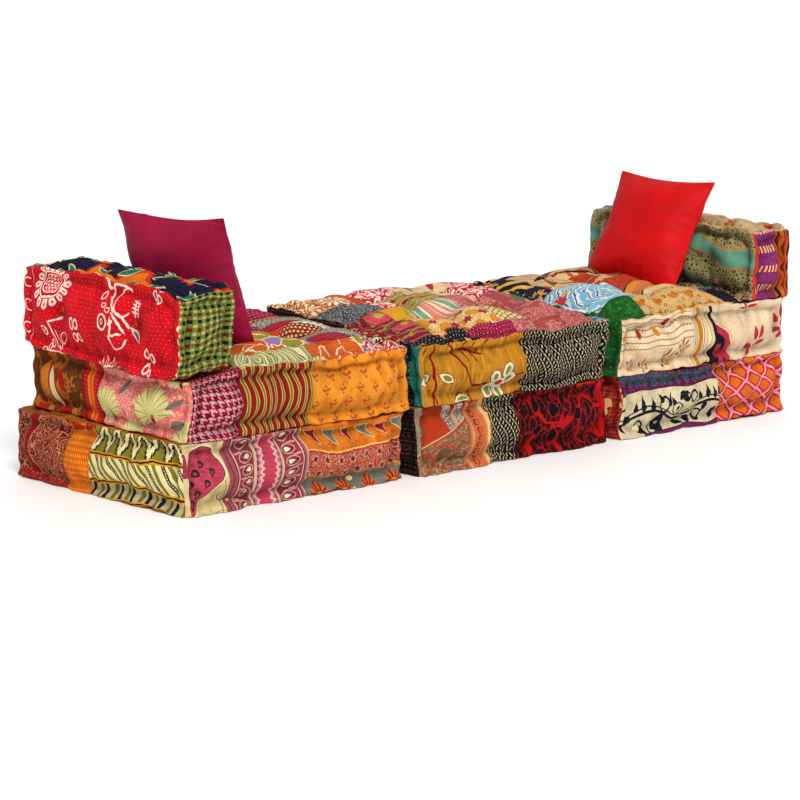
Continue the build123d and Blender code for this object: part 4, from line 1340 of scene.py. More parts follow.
rag = Rag("vine_border", "d0c2a2")
rag.mottle(2.0, 2.0, 0.62, "c4b490")
navy = "191c2c"
stem = rag.v - 5.4 - rag.u.wave(24, 1.75, -1.57)
rag.lay(stem.near(0, 0.74) | stem.near(1.2, 0.36), navy)
ink = rag.place.shaken(1.5, 0.35)
block = ink.at(37.8, 3.8, 6)
rag.lay(ink.any_of(Wire.drop, (6.6, 8.0, 2.64, 1.6, -85), (9.2, 9.0, 4.08, 1.76, -80),
                   (13.0, 8.8, 3.84, 1.76, -100), (16.0, 10.2, 3.12, 1.44, -50),
                   (19.6, 9.6, 4.08, 1.6, -95), (21.0, 9.0, 2.64, 1.44, -60), (31.8, 9.0, 3.12, 1.44, -70),
                   (34.8, 9.8, 4.08, 1.6, -100), (37.2, 9.2, 3.36, 1.44, -80), (39.4, 9.8, 3.36, 1.6, -90),
                   (15.2, 3.4, 5.28, 4.48, 20), (9.8, 2.4, 3.36, 1.44, 150), (3.2, 4.4, 4.08, 1.92, 30),
                   (28.6, 3.0, 3.36, 1.44, 200), (33.4, 5.2, 3.12, 1.76, 60)), navy)
rag.lay(ink.any_of(Wire.ring, (17.2, 8.3, 1.65, 0.625, 0, 1.3), (22.6, 6.8, 1.87, 0.425, 0, 0.95),
                   (29.2, 9.2, 1.26, 0.55, 0, 1.2), (13.4, 2.6, 1.43, 0.625), (8.2, 3.6, 1.1, 0.525),
                   (31.8, 3.9, 1.04, 0.525)), navy)
rag.lay(ink.any_of(Wire.leaf, (22.8, 6.8, 1.92, 1.28, 60), (24.6, 10.2, 3.12, 1.44, 40),
                   (1.4, 3.0, 4.08, 1.12, -30), (1.6, 7.6, 3.6, 0.8, 8), (24.4, 2.6, 4.8, 0.96, -14)), navy)
rag.lay(ink.oval(26.2, 9.6, 1.5, 1.25), navy)
rag.lay(abs(block.axis(0)).maths("MAXIMUM", abs(block.axis(1))) < 1.15, navy)
rag.lay(ink.oval(15.6, 3.5, 0.5, 0.4) | ink.oval(27.0, 9.8, 0.3, 0.3), "cfbb8c")
edge = rag.v + (9.0 - rag.u).maths("MAXIMUM", 0.0) * 0.24 - rag.u.wave(17, 0.3, 1.0)
rag.lay(edge > 12.3, "74205a")
rag.lay((edge > 12.3) & (rag.place.noise(0.8, 2.0) > 0.58), "5f184a")
twig = rag.v - 14.4 - rag.u.wave(12, 0.5)
rag.lay((edge > 12.8) & twig.near(0, 0.42), "2a6f70")
rag.lay((edge > 12.7) & rag.place.at(0.5, 12.4).cell(3.3, 4.0, 0.4).shaken(1.2, 0.7).petals(5, 0.2, 1.9),
        "2a6f70")
low = rag.v + rag.u.wave(11, 0.2)
rag.lay((low < 1.9) & (rag.u > 9.5), "74205a")
rag.lay(edge.near(12.3, 0.2) | (low.near(1.9, 0.16) & (rag.u > 9.5)), "2c1a26")
rag.sew(0.15)

rag = Rag("lattice_silk", "d9761f")
rag.mottle(0.45, 2.0, 0.52, "d06c1e")
net = rag.place.shaken(3.0, 0.3)
first = (net.axis(0) / 7.6 + net.axis(1) / 5.2) % 1 - 0.5
second = (net.axis(0) / 7.6 - net.axis(1) / 5.2) % 1 - 0.5
close = abs(first).maths("MINIMUM", abs(second)) + rag.place.noise(0.7, 2.0) * 0.06 - 0.03
rag.lay(close < 0.19, "bd3048")
rag.lay(close.band(0.165, 0.19), "a8243e")
rag.lay(abs(first).maths("MINIMUM", abs(second)) < 0.062, "dfa0a8")
rag.sew(0.08)

rag = Rag("rust_bark", "8c2018")
rag.mottle(1.0, 3.0, 0.55, "b0402c")
rag.lay(rag.place.shaken(1.4, 0.6).noise(4.0, 1.0) > 0.66, "d9b078")
rag.sew(0.3)


# The right seat. Its front is a cream border print of leaf sprays, a striped band and a cream
# cotton of coral leaves. Green cotton with red seeds covers its left side.

rag = Rag("leaf_border", "e3cbac")
rag.mottle(4.0, 2.0, 0.58, "d8be9a")
ruled = (rag.v + (rag.u - 17.0).maths("MAXIMUM", 0.0) * -0.12 + rag.u.wave(1.0, 0.12) + rag.u.wave(9.0, 0.2))
rag.lay((ruled > 7.4) & (((ruled - 7.4) / 1.55) % 1 < 0.16), "7c6a40")
for x, y, turn, colour in ((1.6, 10.6, 80, "c48a28"), (7.6, 11.4, 95, "b03a2a"), (14.4, 11.2, 120, "c98a1e"),
                           (18.8, 13.4, 20, "a8322a"), (25.2, 15.2, 60, "c98a1e")):
    rag.lay(rag.place.leaf(x, y, 2.6, 1.7, turn), colour)
for x, y, size, turn in ((0.8, 3.2, 0.9, 20), (5.4, 3.2, 0.8, 0), (10.4, 2.6, 0.85, 10),
                         (18.4, 3.2, 1.15, 5), (23.4, 5.2, 1.25, 12)):
    spray = rag.place.at(x, y, turn, size, size)
    rag.lay(spray.leaf(0.2, 1.9, 2.3, 0.62, 68) | spray.leaf(1.4, 1.2, 2.1, 0.6, 48), "b0302a")
    rag.lay(spray.leaf(-0.9, 1.2, 1.7, 0.55, 115) | spray.leaf(-0.8, -0.6, 1.1, 0.6, 150), "b0302a")
    rag.lay(spray.leaf(2.1, 0.3, 1.8, 0.6, 30) | spray.leaf(0.9, -0.4, 1.5, 0.9, 10), "c98a1e")
    rag.lay(spray.stroke(-1.2, -1.0, 1.0, 1.0, 0.14) | spray.stroke(-0.6, 0.6, 0.4, -0.7, 0.12), "3d4560")
rag.sew(0.08)

rag = Rag("barred_border", "e0c89a")
rag.colour = rag.u.stripes(10, (0, "e6d0b0"), (0.06, "7c7468"), (0.085, "e0c89a"), (0.14, "7c7468"),
                           (0.165, "e6d2a8"), (0.22, "c3851c"), (0.41, "e6d2a8"), (0.47, "4a4a5a"),
                           (0.50, "e0c4a8"), (0.60, "8a7f78"), (0.625, "e6d2a8"), (0.76, "8a7f78"),
                           (0.785, "e0c89a"), (0.90, "1e2030"))
rag.sew(0.08)

rag = Rag("coral_leaves", "dec7aa")
rag.mottle(0.5, 2.0, 0.62, "d2b896")
bay = rag.place.shaken(2.0, 0.4).at(0.0, 0.0, 10)
rag.lay(bay.oval(0, 0, 8.3, 12.2), "d9a08e")
rag.lay(bay.oval(0, 0, 8.0, 11.8), "dec7aa")
rag.lay(bay.oval(0, 0, 7.6, 11.2), "b83a4a")
rag.lay(bay.oval(0, 0, 5.4, 9.4), "171a2c")
rag.lay(bay.leaf(2.6, 3.6, 4.6, 2.8, 120) | bay.leaf(4.0, 1.4, 3.8, 2.0, 70) | bay.oval(1.6, 5.2, 1.3, 1.0),
        "b83a4a")
for x, y, size, turn in ((17.6, 4.6, 1.2, 10), (14.6, 15.0, 1.1, -20), (29.8, 8.4, 1.1, 40)):
    spray = rag.place.at(x, y, turn, size, size)
    rag.lay(spray.leaf(-0.1, 2.3, 3.4, 1.7, 92) | spray.leaf(2.2, 2.2, 3.6, 1.6, 56), "b83a4a")
    rag.lay(spray.leaf(-1.6, -0.3, 3.2, 1.1, 158) | spray.leaf(1.8, -0.3, 3.8, 1.1, 18), "b83a4a")
    rag.lay(spray.leaf(-1.4, -1.5, 3.2, 0.7, 20), "b83a4a")
rag.sew(0.08)

rag = Rag("green_seeds", "17602a")
rag.mottle(1.4, 3.0, 0.55, "257632")
rag.lay(rag.place.cell(2.6, 2.2).shaken(0.6, 0.25).oval(0, 0, 0.26, 0.2), "b8484a")
rag.sew(0.2, thread="59a860")

rag = Rag("ochre_discs", "d0ae76")
rag.mottle(0.6, 2.0, 0.6, "c49a60")
disc = rag.place.at(1.0, 0.8).shaken(3.0, 0.6).cell(7.0, 4.6)
rag.lay(disc.oval(0, 0, 1.75, 1.1), "be7418")
rag.lay(disc.ring(0, 0, 1.0, 0.16, 0, 0.6), "e0b060")
rag.lay(disc.oval(2.0, 0.8, 1.0, 0.8), "be7418")
rag.lay(disc.ring(-2.4, 0.9, 0.42, 0.22) | disc.ring(2.8, -1.4, 0.42, 0.22), "2f3140")
rag.sew(0.2)

rag = Rag("paisley_blue", "d6dad4")
swirl = rag.place.shaken(4.0, 1.6)
eye = swirl.at(17.0, 9.0, 20, 1.5, 1.0).beyond()
rag.lay((eye / 2.1) % 1 < 0.4, "7eaecb")
rag.lay((eye / 2.1 + 0.3) % 1 < 0.16, "27468c")
rag.lay(eye < 1.0, "27468c")
rag.lay(swirl.scribble(3.6, 3.0, 0.08, 6.0), "86bcc0")
blossom = rag.place.at(5.0, 14.0)
rag.lay(blossom.petals(6, 1.0, 1.9), "c8384c")
rag.lay(rag.place.leaf(7.6, 15.2, 3.0, 1.5, 20) | rag.place.leaf(3.0, 16.0, 3.0, 1.4, 120), "c9a24c")
rag.sew(0.3)

rag = Rag("bandhani_arcs", "bf4a1c")
bow = rag.place.shaken(3.0, 0.4).at(12.0, -26.0).beyond()
rag.mottle(1.2, 3.0, 0.55, "a93a16")
rag.lay(bow < 39.5, "201c1a")
rag.lay(bow < 39.0, "d9902c")
rag.lay(bow < 36.4, "c24a20")
rag.lay((bow < 36.4) & (rag.place.cell(1.0, 0.8).beyond() < 0.26), "e8c890")
rag.lay(bow < 33.6, "d9902c")
rag.lay(bow < 32.2, "201c1a")
rag.lay(bow < 31.4, "dcc08a")
rag.sew(0.4)

rag = Rag("violet_specks", "3a3468")
rag.lay(rag.place.cell(0.8, 0.7).beyond() < 0.14, "b9aed0")
rag.sew(0.2)

rag = Rag("navy_flames", "1f2236")
flame = rag.place.shaken(2.2, 1.4)
rag.lay(flame.noise(4.0) > 0.56, "c98f3c")
rag.lay(flame.noise(4.0) > 0.64, "e0c48c")
rag.sew(0.2)

rag = Rag("brush_strokes", "cfae86")
rag.lay((rag.u * 0.9 + rag.v * 0.5) % 2.6 < 0.2, "8a6a48")
rag.lay(rag.place.shaken(3.0, 1.4).noise(5.0) > 0.58, "b4552e")
for x, y, long, wide, turn, colour in ((6, 12, 10, 1.6, 24, "1f1c1a"), (22, 13, 15, 1.4, -32, "1f1c1a"),
                                       (16, 5, 16, 3.6, -16, "ad4226"), (24, 8, 16, 4.4, -30, "ad4226"),
                                       (10, 3, 12, 1.6, -6, "1f1c1a"), (4, 6, 9, 2.2, 60, "7d5a3a")):
    rag.lay(rag.place.shaken(1.0, 0.3).leaf(x, y, long, wide, turn), colour)
rag.sew(0.3)

rag = Rag("navy_suns", "1d2140")
sun = rag.place.shaken(1.5, 0.5).cell(9.0, 6.0)
rag.lay(sun.petals(9, 1.6, 2.8), "cf9a4a")
rag.lay(sun.beyond() < 1.1, "5a3a2a")
rag.lay(rag.v > 7.5, "171412")
rag.lay((rag.v > 7.5) & ((rag.u / 4.0 + rag.v / 6) % 1 < 0.4), "d9b060")
rag.sew(0.3)

rag = Rag("cedar_patch", "6d3a22")
rag.mottle(2.0, 3.0, 0.5, "8d5a2c")
rag.lay(rag.place.scribble(3.0, 3.0, 0.08, 2.0), "4c5a2c")
rag.sew(0.4)


# The right arm stands on its side like the left one. Teal waves with dotted bands cover its inner
# face, and striped silk its front end.

rag = Rag("teal_waves", "6f9e88")
flow = rag.v + (rag.u - 60) * 0.22 + rag.u.wave(34, 1.4, 2.0) + rag.place.noise(6.0) * 1.6
stripe = ((flow + 11.6) / 10.4) % 1
rag.mottle(2.0, 2.0, 0.58, "6c9c88")
rag.lay(stripe < 0.62, "b58a48")
dotted = stripe.band(0.045, 0.575)
rag.lay(dotted, "a8a070")
rag.lay(dotted & (rag.place.noise(0.5, 2.0) > 0.5), "8f8a62")
rag.lay(dotted & (rag.place.shaken(1.6, 0.7).cell(1.15, 1.0).beyond() < 0.23), "1d1a17")
rag.lay(dotted & (rag.place.noise(5.0, 2.0) > 0.63), "8a6458")
lace = rag.v - rag.place.noise(5.0) * 2.6
rag.lay((lace > 13.6) & rag.place.shaken(0.8, 0.4).scribble(1.1, 3.0, 0.2, 3.0), "2c2740")
rag.lay(lace > 15.0, "c9ac7c")
rag.lay((lace > 15.0) & rag.place.shaken(0.8, 0.4).scribble(1.5, 3.0, 0.2, 3.0), "4a3a3c")
rag.sew(0.1)

rag = Rag("faded_marigold", "b8a07c")
rag.mottle(5.0, 2.0, 0.5, "c0aa86")
bloom = rag.place.shaken(1.0, 0.4).cell(11.0, 9.0)
rag.lay(bloom.petals(6, 0.9, 2.0), "b8622c")
rag.lay(bloom.oval(0, 0, 0.6, 0.5), "c98a3c")
rag.lay(rag.place.scribble(6.0, 3.0, 0.03, 8.0), "b5683c")
rag.sew(0.1)

rag = Rag("clamp_stripes", "a83424")
cloth = rag.place.shaken(3.0, 0.3)
rag.colour = (cloth.axis(1) + rag.u.wave(4.6, 0.25)).stripes(
    17.5, (0, "c8442a"), (0.09, "86305c"), (0.50, "a83424"), (0.54, "c0701c"), (0.59, "24301c"),
    (0.66, "c0701c"), (0.72, "8a2418"), (0.75, "b8581c"), (0.79, "1e2618"), (0.87, "c8442a"),
    (0.93, "24301c"))
row = ((rag.u + 0.8) / 5.1) % 1
knots = cloth.axis(1).band(1.7, 8.6)
gap = knots & row.band(0.0, 0.34)
rag.lay(gap, "a83020")
rag.lay(gap & ((cloth.axis(1) / 0.95) % 1 < 0.42), "d9b8a0")
rag.lay(knots & (1 - gap) & (rag.place.noise(0.5, 2.0) > 0.54), "8c4488")
rag.lay(cloth.axis(1).band(15.2, 19) & (row < 0.45), "86305c")
rag.lay(cloth.axis(1).band(11.2, 14.6) & row.band(0.6, 0.9) & (rag.place.noise(1.5) > 0.45), "c0481c")
rag.sew()

rag = Rag("ink_florets", "b9ada8")
rag.lay(rag.place.shaken(1.0, 0.5).scribble(1.7, 3.0, 0.2, 6.0), "26222c")
rag.mottle(2.5, 1.0, 0.6, "8a7aa0")
rag.sew(0.2)

rag = Rag("twisted_edge", "b9b4a8")
turns = (rag.v / 3.4 + rag.u * 0.22) % 1
rag.lay(turns < 0.34, "2a86a4")
rag.lay(turns.band(0.5, 0.68), "a83a30")
rag.lay(turns.band(0.34, 0.38) | turns.band(0.68, 0.72), "2c2a2a")
rag.sew()


# The eight cushions, column by column from the left. Each is pieced from its quilt, drawn out of
# square as it stands in the row, stuffed, and pressed flat on its bed.

cushion_width, cushion_depth, gap = 0.70, 0.60, 0.049
column_step = cushion_width + gap
cord_grid = [(a, b) for a in (-1 / 6, 1 / 6) for b in (-1 / 6, 1 / 6)]
base_size = (cushion_width, cushion_depth, 0.169)
seat_size = (cushion_width, cushion_depth, 0.159)
base_floor, base_top, seat_floor = 0.0004, 0.1687, 0.1694
base_press, seat_press = (0.009, 0.010), (0.011, 0)
seat_top, arm_floor, arm_middle = 0.3282, 0.3287, 0.4271
for thread, colour in (("orange_thread", "c8641e"), ("red_thread", "a01c22"), ("dark_thread", "4a2c24")):
    Rag(thread, colour).sew()

base = BlockCushion("base_left", base_size, {
    "front": [(99, [(14, "melon_print"), (37, "lace_print"), (99, "pennant_border")])],
    "left": [(99, [(19.6, "scroll_print"), (28.3, "kantha_orange"), (99, "ikat_cloth")])],
    "right": [(99, [(30, "dark_specks"), (99, "madder_sprigs")])],
    "back": [(99, [(30, "madder_sprigs"), (52, "kantha_orange"), (99, "scroll_print")])],
    "top": [(20, [(35, "ochre_quilting"), (99, "madder_sprigs")]),
            (99, [(40, "ochre_quilting"), (99, "kantha_orange")])],
}, seed=11, crown=0.006, side_bulge=0.016, tufts=cord_grid, tuft_depth=0.012)
base.shaped(set_out=((-0.012, -0.018), (0.006, -0.016), (-0.031, 0.014), (0, 0)), press=base_press, fade=0.7)
base.stood((-column_step, 0, 0)).stuffed().pressed(base_floor, base_top)
base.finished("dark_thread")


def arm_sag(places):
    """How far the left arm's weight pushes the seat's outer edge down.

    It grows over 13 cm towards the edge, and is a bell along the depth with its top before the middle.
    """
    edge, run, least, most, before, width = 0.95, 0.13, 0.008, 0.011, 0.12, 0.22
    out = ((-places[:, 0] - edge) / run).clip(0, 1)
    return out * (least + most * bell(places[:, 1] + before, width))


def below_arm(places, side, start):
    """How high a seat's top may stand below the arm of this side. Inside start it is free to rise."""
    run, slope = 0.2, 0.9
    return seat_top + (start - side * places[:, 0]).clip(0, run) * slope


seat = BlockCushion("seat_left", seat_size, {
    "front": [(99, [(14.3, "houndstooth"), (36.6, "bayadere_stripes"), (99, "sprigged_orange")])],
    "left": [(99, [(21, "brown_hanging"), (28, "banner_stripes"), (99, "fan_print")])],
    "right": [(99, [(12, "kantha_orange"), (40, "madder_sprigs"), (99, "kantha_orange")])],
    "back": [(99, [(24, "kantha_orange"), (44, "scroll_print"), (99, "madder_sprigs")])],
    "top": [(8, [(15, "dotted_red"), (40, "olive_whorls"), (58, "cutout_suns"), (99, "red_scrollwork")]),
            (24, [(15, "dotted_red"), (44, "cutout_suns"), (99, "slanted_strips")]),
            (38, [(44, "magenta_dots"), (99, "slanted_strips")]),
            (99, [(16, "brown_check"), (38, "brown_check"), (99, "magenta_dots")])],
}, seed=31, crown=0.019, side_bulge=0.016, tufts=cord_grid, tuft_depth=0.030)
seat.shaped(lift=(0.012, 0.008, 0.016, 0.034), press=seat_press,
            set_out=((0.012, -0.004), (0.024, -0.016), (0.006, 0), (0, 0)))
seat.stood((-column_step, 0, seat_floor)).stuffed()
seat.places[:, 2] -= arm_sag(seat.places) * ((seat.places[:, 2] - seat_floor) / seat_size[2]).clip(0, 1)
seat.pressed(seat_floor, lambda places: below_arm(places, -1, 0.936) - arm_sag(places))
seat.finished("red_thread")

arm_size = (0.60, 0.195, 0.155)
arm_cords = [(-0.24, 0.0), (0.24, 0.0)]
arm = BlockCushion("arm_left", arm_size, {
    "top": [(99, [(99, "red_kantha")])],
    "right": [(99, [(99, "green_gingham")])],
    "back": [(99, [(99, "night_leaves")])],
    "bottom": [(99, [(99, "dotted_red")])],
    "front": [(99, [(99, "madder_sprigs")])],
    "left": [(99, [(99, "scroll_print")])],
}, seed=52, crown=0.018, side_bulge=0.014, tufts=arm_cords, tuft_depth=0.018, smooth="top")
arm.stretched((0.022, 0.014, 0.016)).shaped(press=(0, 0))
turned = 0.0133
arm.stood((-0.941, 0, arm_middle), ((-turned, -1, 0), (0, 0, 1), (-1, turned, 0))).stuffed()
# Its lower part sinks with the seat, and leans outwards more and more towards the front.
lean_start, lean_run, foot_out = 0.535, 0.2, 0.018
low = ((lean_start - arm.places[:, 2]) / lean_run).clip(0, 1)
arm.places[:, 0] -= foot_out * low * (0.5 - arm.places[:, 1] / arm_size[0]).clip(0, 1)
arm.places[:, 2] -= low * arm_sag(arm.places)
arm.pressed(lambda places: arm_floor - arm_sag(places))
arm.finished("orange_thread")

base = BlockCushion("base_middle", base_size, {
    "front": [(99, [(17, "taupe_print"), (26, "peach_border"), (35, "basket_print"), (99, "leaf_batik")])],
    "left": [(99, [(20, "madder_sprigs"), (99, "dark_specks")])],
    "right": [(99, [(30, "scroll_print"), (99, "kantha_orange")])],
    "back": [(99, [(30, "kantha_orange"), (52, "madder_sprigs"), (99, "houndstooth")])],
    "top": [(7, [(30, "ochre_quilting"), (99, "plain_orange")]),
            (99, [(40, "ochre_quilting"), (99, "madder_sprigs")])],
}, seed=12, crown=0.006, side_bulge=0.016, tufts=cord_grid, tuft_depth=0.012)
base.shaped(set_out=((-0.016, -0.019), (0.018, -0.019), (0, 0), (0, 0)), press=base_press, fade=0.8)
base.stood((0, 0, 0)).stuffed().pressed(base_floor, base_top)
base.finished("dark_thread")

seat = BlockCushion("seat_middle", seat_size, {
    "front": [(99, [(35.7, "mustard_crewel"), (99, "basket_print")])],
    "left": [(99, [(30, "dark_specks"), (51, "madder_sprigs"), (99, "teal_strip")])],
    "right": [(99, [(9, "madder_sprigs"), (40, "kantha_orange"), (99, "madder_sprigs")])],
    "back": [(99, [(30, "plain_orange"), (52, "grey_speckle"), (99, "white_leaf_batik")])],
    "top": [(7, [(21, "navy_dots"), (38, "magenta_dots"), (64, "dusty_pink"), (99, "twisted_edge")]),
            (17, [(9.5, "rosette"), (34, "mustard_bouquet"), (43, "windowpane"), (99, "dusty_pink")]),
            (29, [(10, "rosette"), (17, "yellow_quilting"), (34, "serape_stripes"), (52, "dusty_pink"),
                  (99, "pink_lily")]),
            (43, [(12, "grey_speckle"), (17, "white_scroll_red"), (36, "olive_ikat"), (50, "cream_lily"),
                  (99, "white_scroll_red")]),
            (99, [(15, "white_leaf_batik"), (24, "plain_orange"), (34, "white_scroll_red"),
                  (56, "cream_lily"), (99, "white_scroll_red")])],
}, seed=32, crown=0.028, side_bulge=0.016, tufts=cord_grid, tuft_depth=0.032)
seat.shaped(lift=(0, 0.008, 0.033, 0.029), press=seat_press,
            set_out=((0.009, -0.004), (0.013, -0.010), (0, 0), (0, 0)))
seat.stood((0, 0, seat_floor)).stuffed().pressed(seat_floor)
seat.finished("red_thread")

base = BlockCushion("base_right", base_size, {
    "front": [(99, [(40, "vine_border"), (99, "lattice_silk")])],
    "left": [(99, [(20, "madder_sprigs"), (99, "rust_bark")])],
    "right": [(99, [(25, "lattice_silk"), (99, "kantha_orange")])],
    "back": [(99, [(30, "scroll_print"), (52, "kantha_orange"), (99, "madder_sprigs")])],
    "top": [(99, [(40, "ochre_quilting"), (99, "madder_sprigs")])],
}, seed=13, crown=0.006, side_bulge=0.016, tufts=cord_grid, tuft_depth=0.012)
base.shaped(set_out=((0, -0.019), (0.013, -0.020), (0, 0), (0.006, 0)), press=base_press, fade=0.8)
base.stood((column_step, 0, 0)).stuffed().pressed(base_floor, base_top)
base.finished("dark_thread")

seat = BlockCushion("seat_right", seat_size, {
    "front": [(99, [(28, "leaf_border"), (38, "barred_border"), (99, "coral_leaves")])],
    "left": [(99, [(20, "madder_sprigs"), (99, "green_seeds")])],
    "right": [(99, [(30, "coral_leaves"), (99, "madder_sprigs")])],
    "back": [(99, [(30, "madder_sprigs"), (50, "navy_suns"), (99, "cedar_patch")])],
    "top": [(12, [(14, "green_seeds"), (46, "ochre_discs"), (99, "navy_flames")]),
            (32, [(26, "paisley_blue"), (46, "bandhani_arcs"), (99, "violet_specks")]),
            (50, [(8, "navy_suns"), (36, "brush_strokes"), (48, "cedar_patch"), (99, "violet_specks")]),
            (99, [(24, "navy_suns"), (99, "cedar_patch")])],
}, seed=33, crown=0.027, side_bulge=0.016, tufts=cord_grid, tuft_depth=0.032)
seat.shaped(lift=(0, 0.008, 0.030, 0.014), press=seat_press,
            set_out=((0, -0.004), (0.012, -0.014), (0, 0), (0, 0)))
seat.stood((column_step, 0, seat_floor)).stuffed()
seat.pressed(seat_floor, lambda places: below_arm(places, 1, 0.938))
seat.finished("red_thread")

arm = BlockCushion("arm_right", arm_size, {
    "bottom": [(99, [(99, "teal_waves")])],
    "left": [(99, [(99, "clamp_stripes")])],
    "back": [(99, [(8, "ink_florets"), (99, "faded_marigold")])],
    "top": [(99, [(30, "plain_orange"), (99, "madder_sprigs")])],
    "front": [(99, [(99, "madder_sprigs")])],
    "right": [(99, [(99, "ink_florets")])],
}, seed=54, crown=0.018, side_bulge=0.014, tufts=arm_cords, tuft_depth=0.018, smooth="top")
arm.stretched((0.030, 0.030, 0.018)).shaped(press=(0, 0))
arm.stood((0.937, 0, arm_middle), ((0, 1, 0), (0, 0, 1), (1, 0, 0))).stuffed().pressed(arm_floor)
arm.finished("orange_thread")


# The throw pillows: plain satin-smooth cotton covers on fibre inserts, leaning on the arms.
# Each is two panels seamed all round, with pointed corners, edges drawn in and a zip below.

def throw_pillow(side, place, up, across, cloth, seed):
    """A pillow of two domed grids u, v from -1 to 1 that meet in its seam.

    Its outline's edges draw in between the corners, and its thickness is a product of two rounded
    arches. Soft folds run in from the corners and across the seam, as sine waves that die inward.
    """
    half, depth, drawn_in, swelling, crowding = 0.17, 0.064, 0.085, 0.005, 0.93
    fold_rise, pucker_rise, lump_rise, tip_rise = 0.0022, 0.0013, 0.0022, 0.004
    lines = np.sin(np.linspace(-np.pi / 2, np.pi / 2, 53) * crowding) / np.sin(np.pi / 2 * crowding)
    u, v = np.meshgrid(lines, lines)
    across, up = np.array(across, float), np.array(up, float)
    across /= np.linalg.norm(across)
    out = np.cross(across, up)
    out /= np.linalg.norm(out)
    up = np.cross(out, across)
    panels = {}
    for face, sign in (("front", 1), ("back", -1)):
        x = half * u * (1 - drawn_in * (1 - v ** 2) ** 1.4 * abs(u) ** 1.5)
        y = half * v * (1 - drawn_in * (1 - u ** 2) ** 1.4 * abs(v) ** 1.5)
        arch = ((1 - abs(u) ** 2.6) * (1 - abs(v) ** 2.6)).clip(0)
        thick = depth * arch ** 0.62
        flat = np.stack([u, v], -1)
        edge = np.maximum(abs(u), abs(v))
        corner = (abs(u) * abs(v)) ** 1.5
        fold = fold_rise * np.sin(9 * (u * np.sign(v) - v * np.sign(u)) + seed) * corner * (1 - edge ** 8)
        pull = pucker_rise * np.sin(34 * np.where(abs(u) > abs(v), v, u) + seed)
        pull = pull * edge ** 5 * (1 - edge ** 20)
        soft = lump_rise * drift(flat + seed, 1.1, seed) * arch
        thick = thick + fold + pull + soft
        tip = tip_rise * drift(flat, 1.6, seed + 5) * edge ** 4
        panels[face] = (np.array(place) + x[..., None] * across + y[..., None] * up
                        + (sign * thick * (edge < 1) + tip)[..., None] * out)
    ids = np.arange(u.size).reshape(u.shape)
    ring = np.concatenate([ids[0, :-1], ids[:-1, -1], ids[-1, :0:-1], ids[:0:-1, 0]])
    behind = ids + u.size
    rim = np.isin(ids, ring)
    behind[rim] = ids[rim]
    quads = np.concatenate([BlockCushion.corners(ids).reshape(-1, 4),
                            BlockCushion.corners(behind).reshape(-1, 4)[:, ::-1]])
    both = np.concatenate([panels["front"].reshape(-1, 3), panels["back"].reshape(-1, 3)])
    used, quads = np.unique(quads, return_inverse=True)
    both[used] = swollen(both[used], quads.reshape(-1, 4), np.isin(used, ring), swelling)
    panels = {"front": both[ids], "back": both[behind]}
    for face, grid in panels.items():
        quads = BlockCushion.corners(ids).reshape(-1, 4)
        outline = ring
        if face == "back":
            quads, outline = quads[:, ::-1], ring[::-1]
        places = grid.reshape(-1, 3)
        places, triangles, bakes = drawn_together(places, outline, np.array(place))
        flat = np.stack([u, v], -1).reshape(-1, 2)[quads.ravel()]
        maps = {"cloth": np.concatenate([(flat + 1) * half * 100, np.zeros((len(bakes), 2))]),
                "OFBake": np.concatenate([(flat + 1) * (0.5, 0.465), bakes])}
        piece = mesh_piece(f"pillow_{side}_{face}_cover", places, quads.tolist() + triangles.tolist(), maps,
                           np.zeros(len(quads) + len(triangles)), [cloth], ring)
        rounded(piece)
        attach(piece, f"pillow_{side}")
        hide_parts(f"pillow_{side}_{face}_panel",
                    *([f"pillow_{side}_insert"] if face == "front" else []))


def pillow_zip(side, thread):
    """The coil zip in the lower seam: an oval bar along the box of its node, ridged by its coils."""
    low, high = (np.array(corner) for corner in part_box(f"pillow_{side}_zip"))
    along, around = np.meshgrid(np.linspace(0, 1, 241), np.arange(12) * np.pi / 6, indexing="ij")
    middle, half = (low + high) / 2, (high - low) / 2
    ridge = 1 + 0.16 * np.sin(along * 2 * np.pi * 80)
    ends = np.minimum(1, np.minimum(along, 1 - along) * 60) ** 0.5
    way = -1 if side == "left" else 1
    x = middle[0] + half[0] * (0.42 * np.cos(around) * ridge + 0.5 * way * np.sin(around)) * ends
    z = middle[2] + half[2] * 0.62 * np.sin(around) * ends
    places = np.stack([x, low[1] + (high[1] - low[1]) * along, z], -1)
    ids = np.arange(along.size).reshape(along.shape)
    beside = np.roll(ids, -1, 1)
    faces = np.stack([ids[:-1], beside[:-1], beside[1:], ids[1:]], -1).reshape(-1, 4).tolist()
    faces += [ids[0, ::-1].tolist(), ids[-1].tolist()]
    order = np.concatenate([np.array(face) for face in faces])
    flat = places.reshape(-1, 3)[order][:, 1:] * 100
    piece = mesh_piece(f"pillow_{side}_zip_coil", places.reshape(-1, 3), faces, {"cloth": flat},
                       np.zeros(len(faces)), [thread])
    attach(piece, f"pillow_{side}")
    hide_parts(f"pillow_{side}_zip")


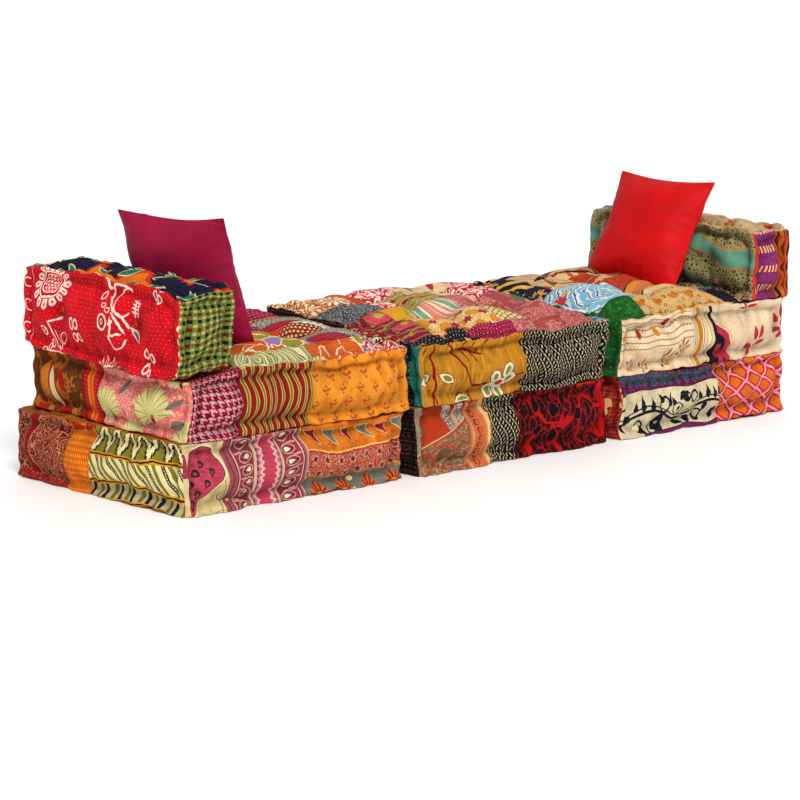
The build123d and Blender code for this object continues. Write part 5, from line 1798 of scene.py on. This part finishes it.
for name, colour in (("magenta", "9c1a46"), ("red", "c40c12")):
    Rag(name, colour).sew(roughness=0.6, weave=0.08)
lean = radians(20)
throw_pillow("left", (-0.861, -0.019, 0.5010), (-np.sin(lean), 0, np.cos(lean)), (-0.14, 0.99, -0.03),
             rags["magenta"], seed=3)
pillow_zip("left", rags["magenta"])
lean = radians(27)
throw_pillow("right", (0.864, 0.013, 0.4955), (np.sin(lean), 0, np.cos(lean)), (0, -1, 0),
             rags["red"], seed=8)
pillow_zip("right", rags["red"])

# The studio: a white sweep under a broad soft sun from the front left, in an even pale sky.
# The camera sees the sky past the floor as white, brighter than the light that it gives.
world = bpy.data.worlds.new("studio")
bpy.context.scene.world = world
world.use_nodes = True
sky = Wire(world.node_tree, None)
world.node_tree.nodes.clear()
seen, glow = sky.node("LightPath"), 0.62
backdrop = sky.node("Background", {"Color": (1, 1, 1, 1), "Strength": seen * (1 - glow) + glow})
sky.node("OutputWorld", (backdrop,))
floor = mesh_piece("floor", np.array([(-90, -90, 0), (90, -90, 0), (90, 90, 0), (-90, 90, 0)], float),
                   [[0, 1, 2, 3]], {}, np.zeros(1), [])
paper = bpy.data.materials.new("paper")
paper.use_nodes = True
paper.node_tree.nodes["Principled BSDF"].inputs["Base Color"].default_value = (0.97, 0.97, 0.97, 1)
floor.data.materials.append(paper)

sun = bpy.data.lights.new("soft_sun", "SUN")
sun.energy = 2.7
sun.angle = radians(24)
sun_light = bpy.data.objects.new("soft_sun", sun)
sun_light.rotation_euler = Vector((2.6, 3.8, -4.6)).to_track_quat("-Z", "Y").to_euler()
bpy.context.scene.collection.objects.link(sun_light)

# The camera has a long lens and stands in front on the left, a little above the arms.
camera = bpy.data.objects.new("camera", bpy.data.cameras.new("camera"))
bpy.context.scene.collection.objects.link(camera)
bpy.context.scene.camera = camera
camera.data.lens = 122.67
camera.data.sensor_width = 36
yaw, pitch, roll = radians(44.57), radians(-10.515), radians(1.5)
forward = Vector((np.sin(yaw) * np.cos(pitch), np.cos(yaw) * np.cos(pitch), np.sin(pitch)))
level = Vector((np.cos(yaw), -np.sin(yaw), 0))
over = level.cross(forward)
right = level * np.cos(roll) + over * np.sin(roll)
over = over * np.cos(roll) - level * np.sin(roll)
turn = Matrix((right, over, -forward)).transposed().to_4x4()
camera.matrix_world = Matrix.Translation((-5.0183, -4.9746, 1.4168)) @ turn

bpy.context.scene.view_settings.view_transform = "Standard"
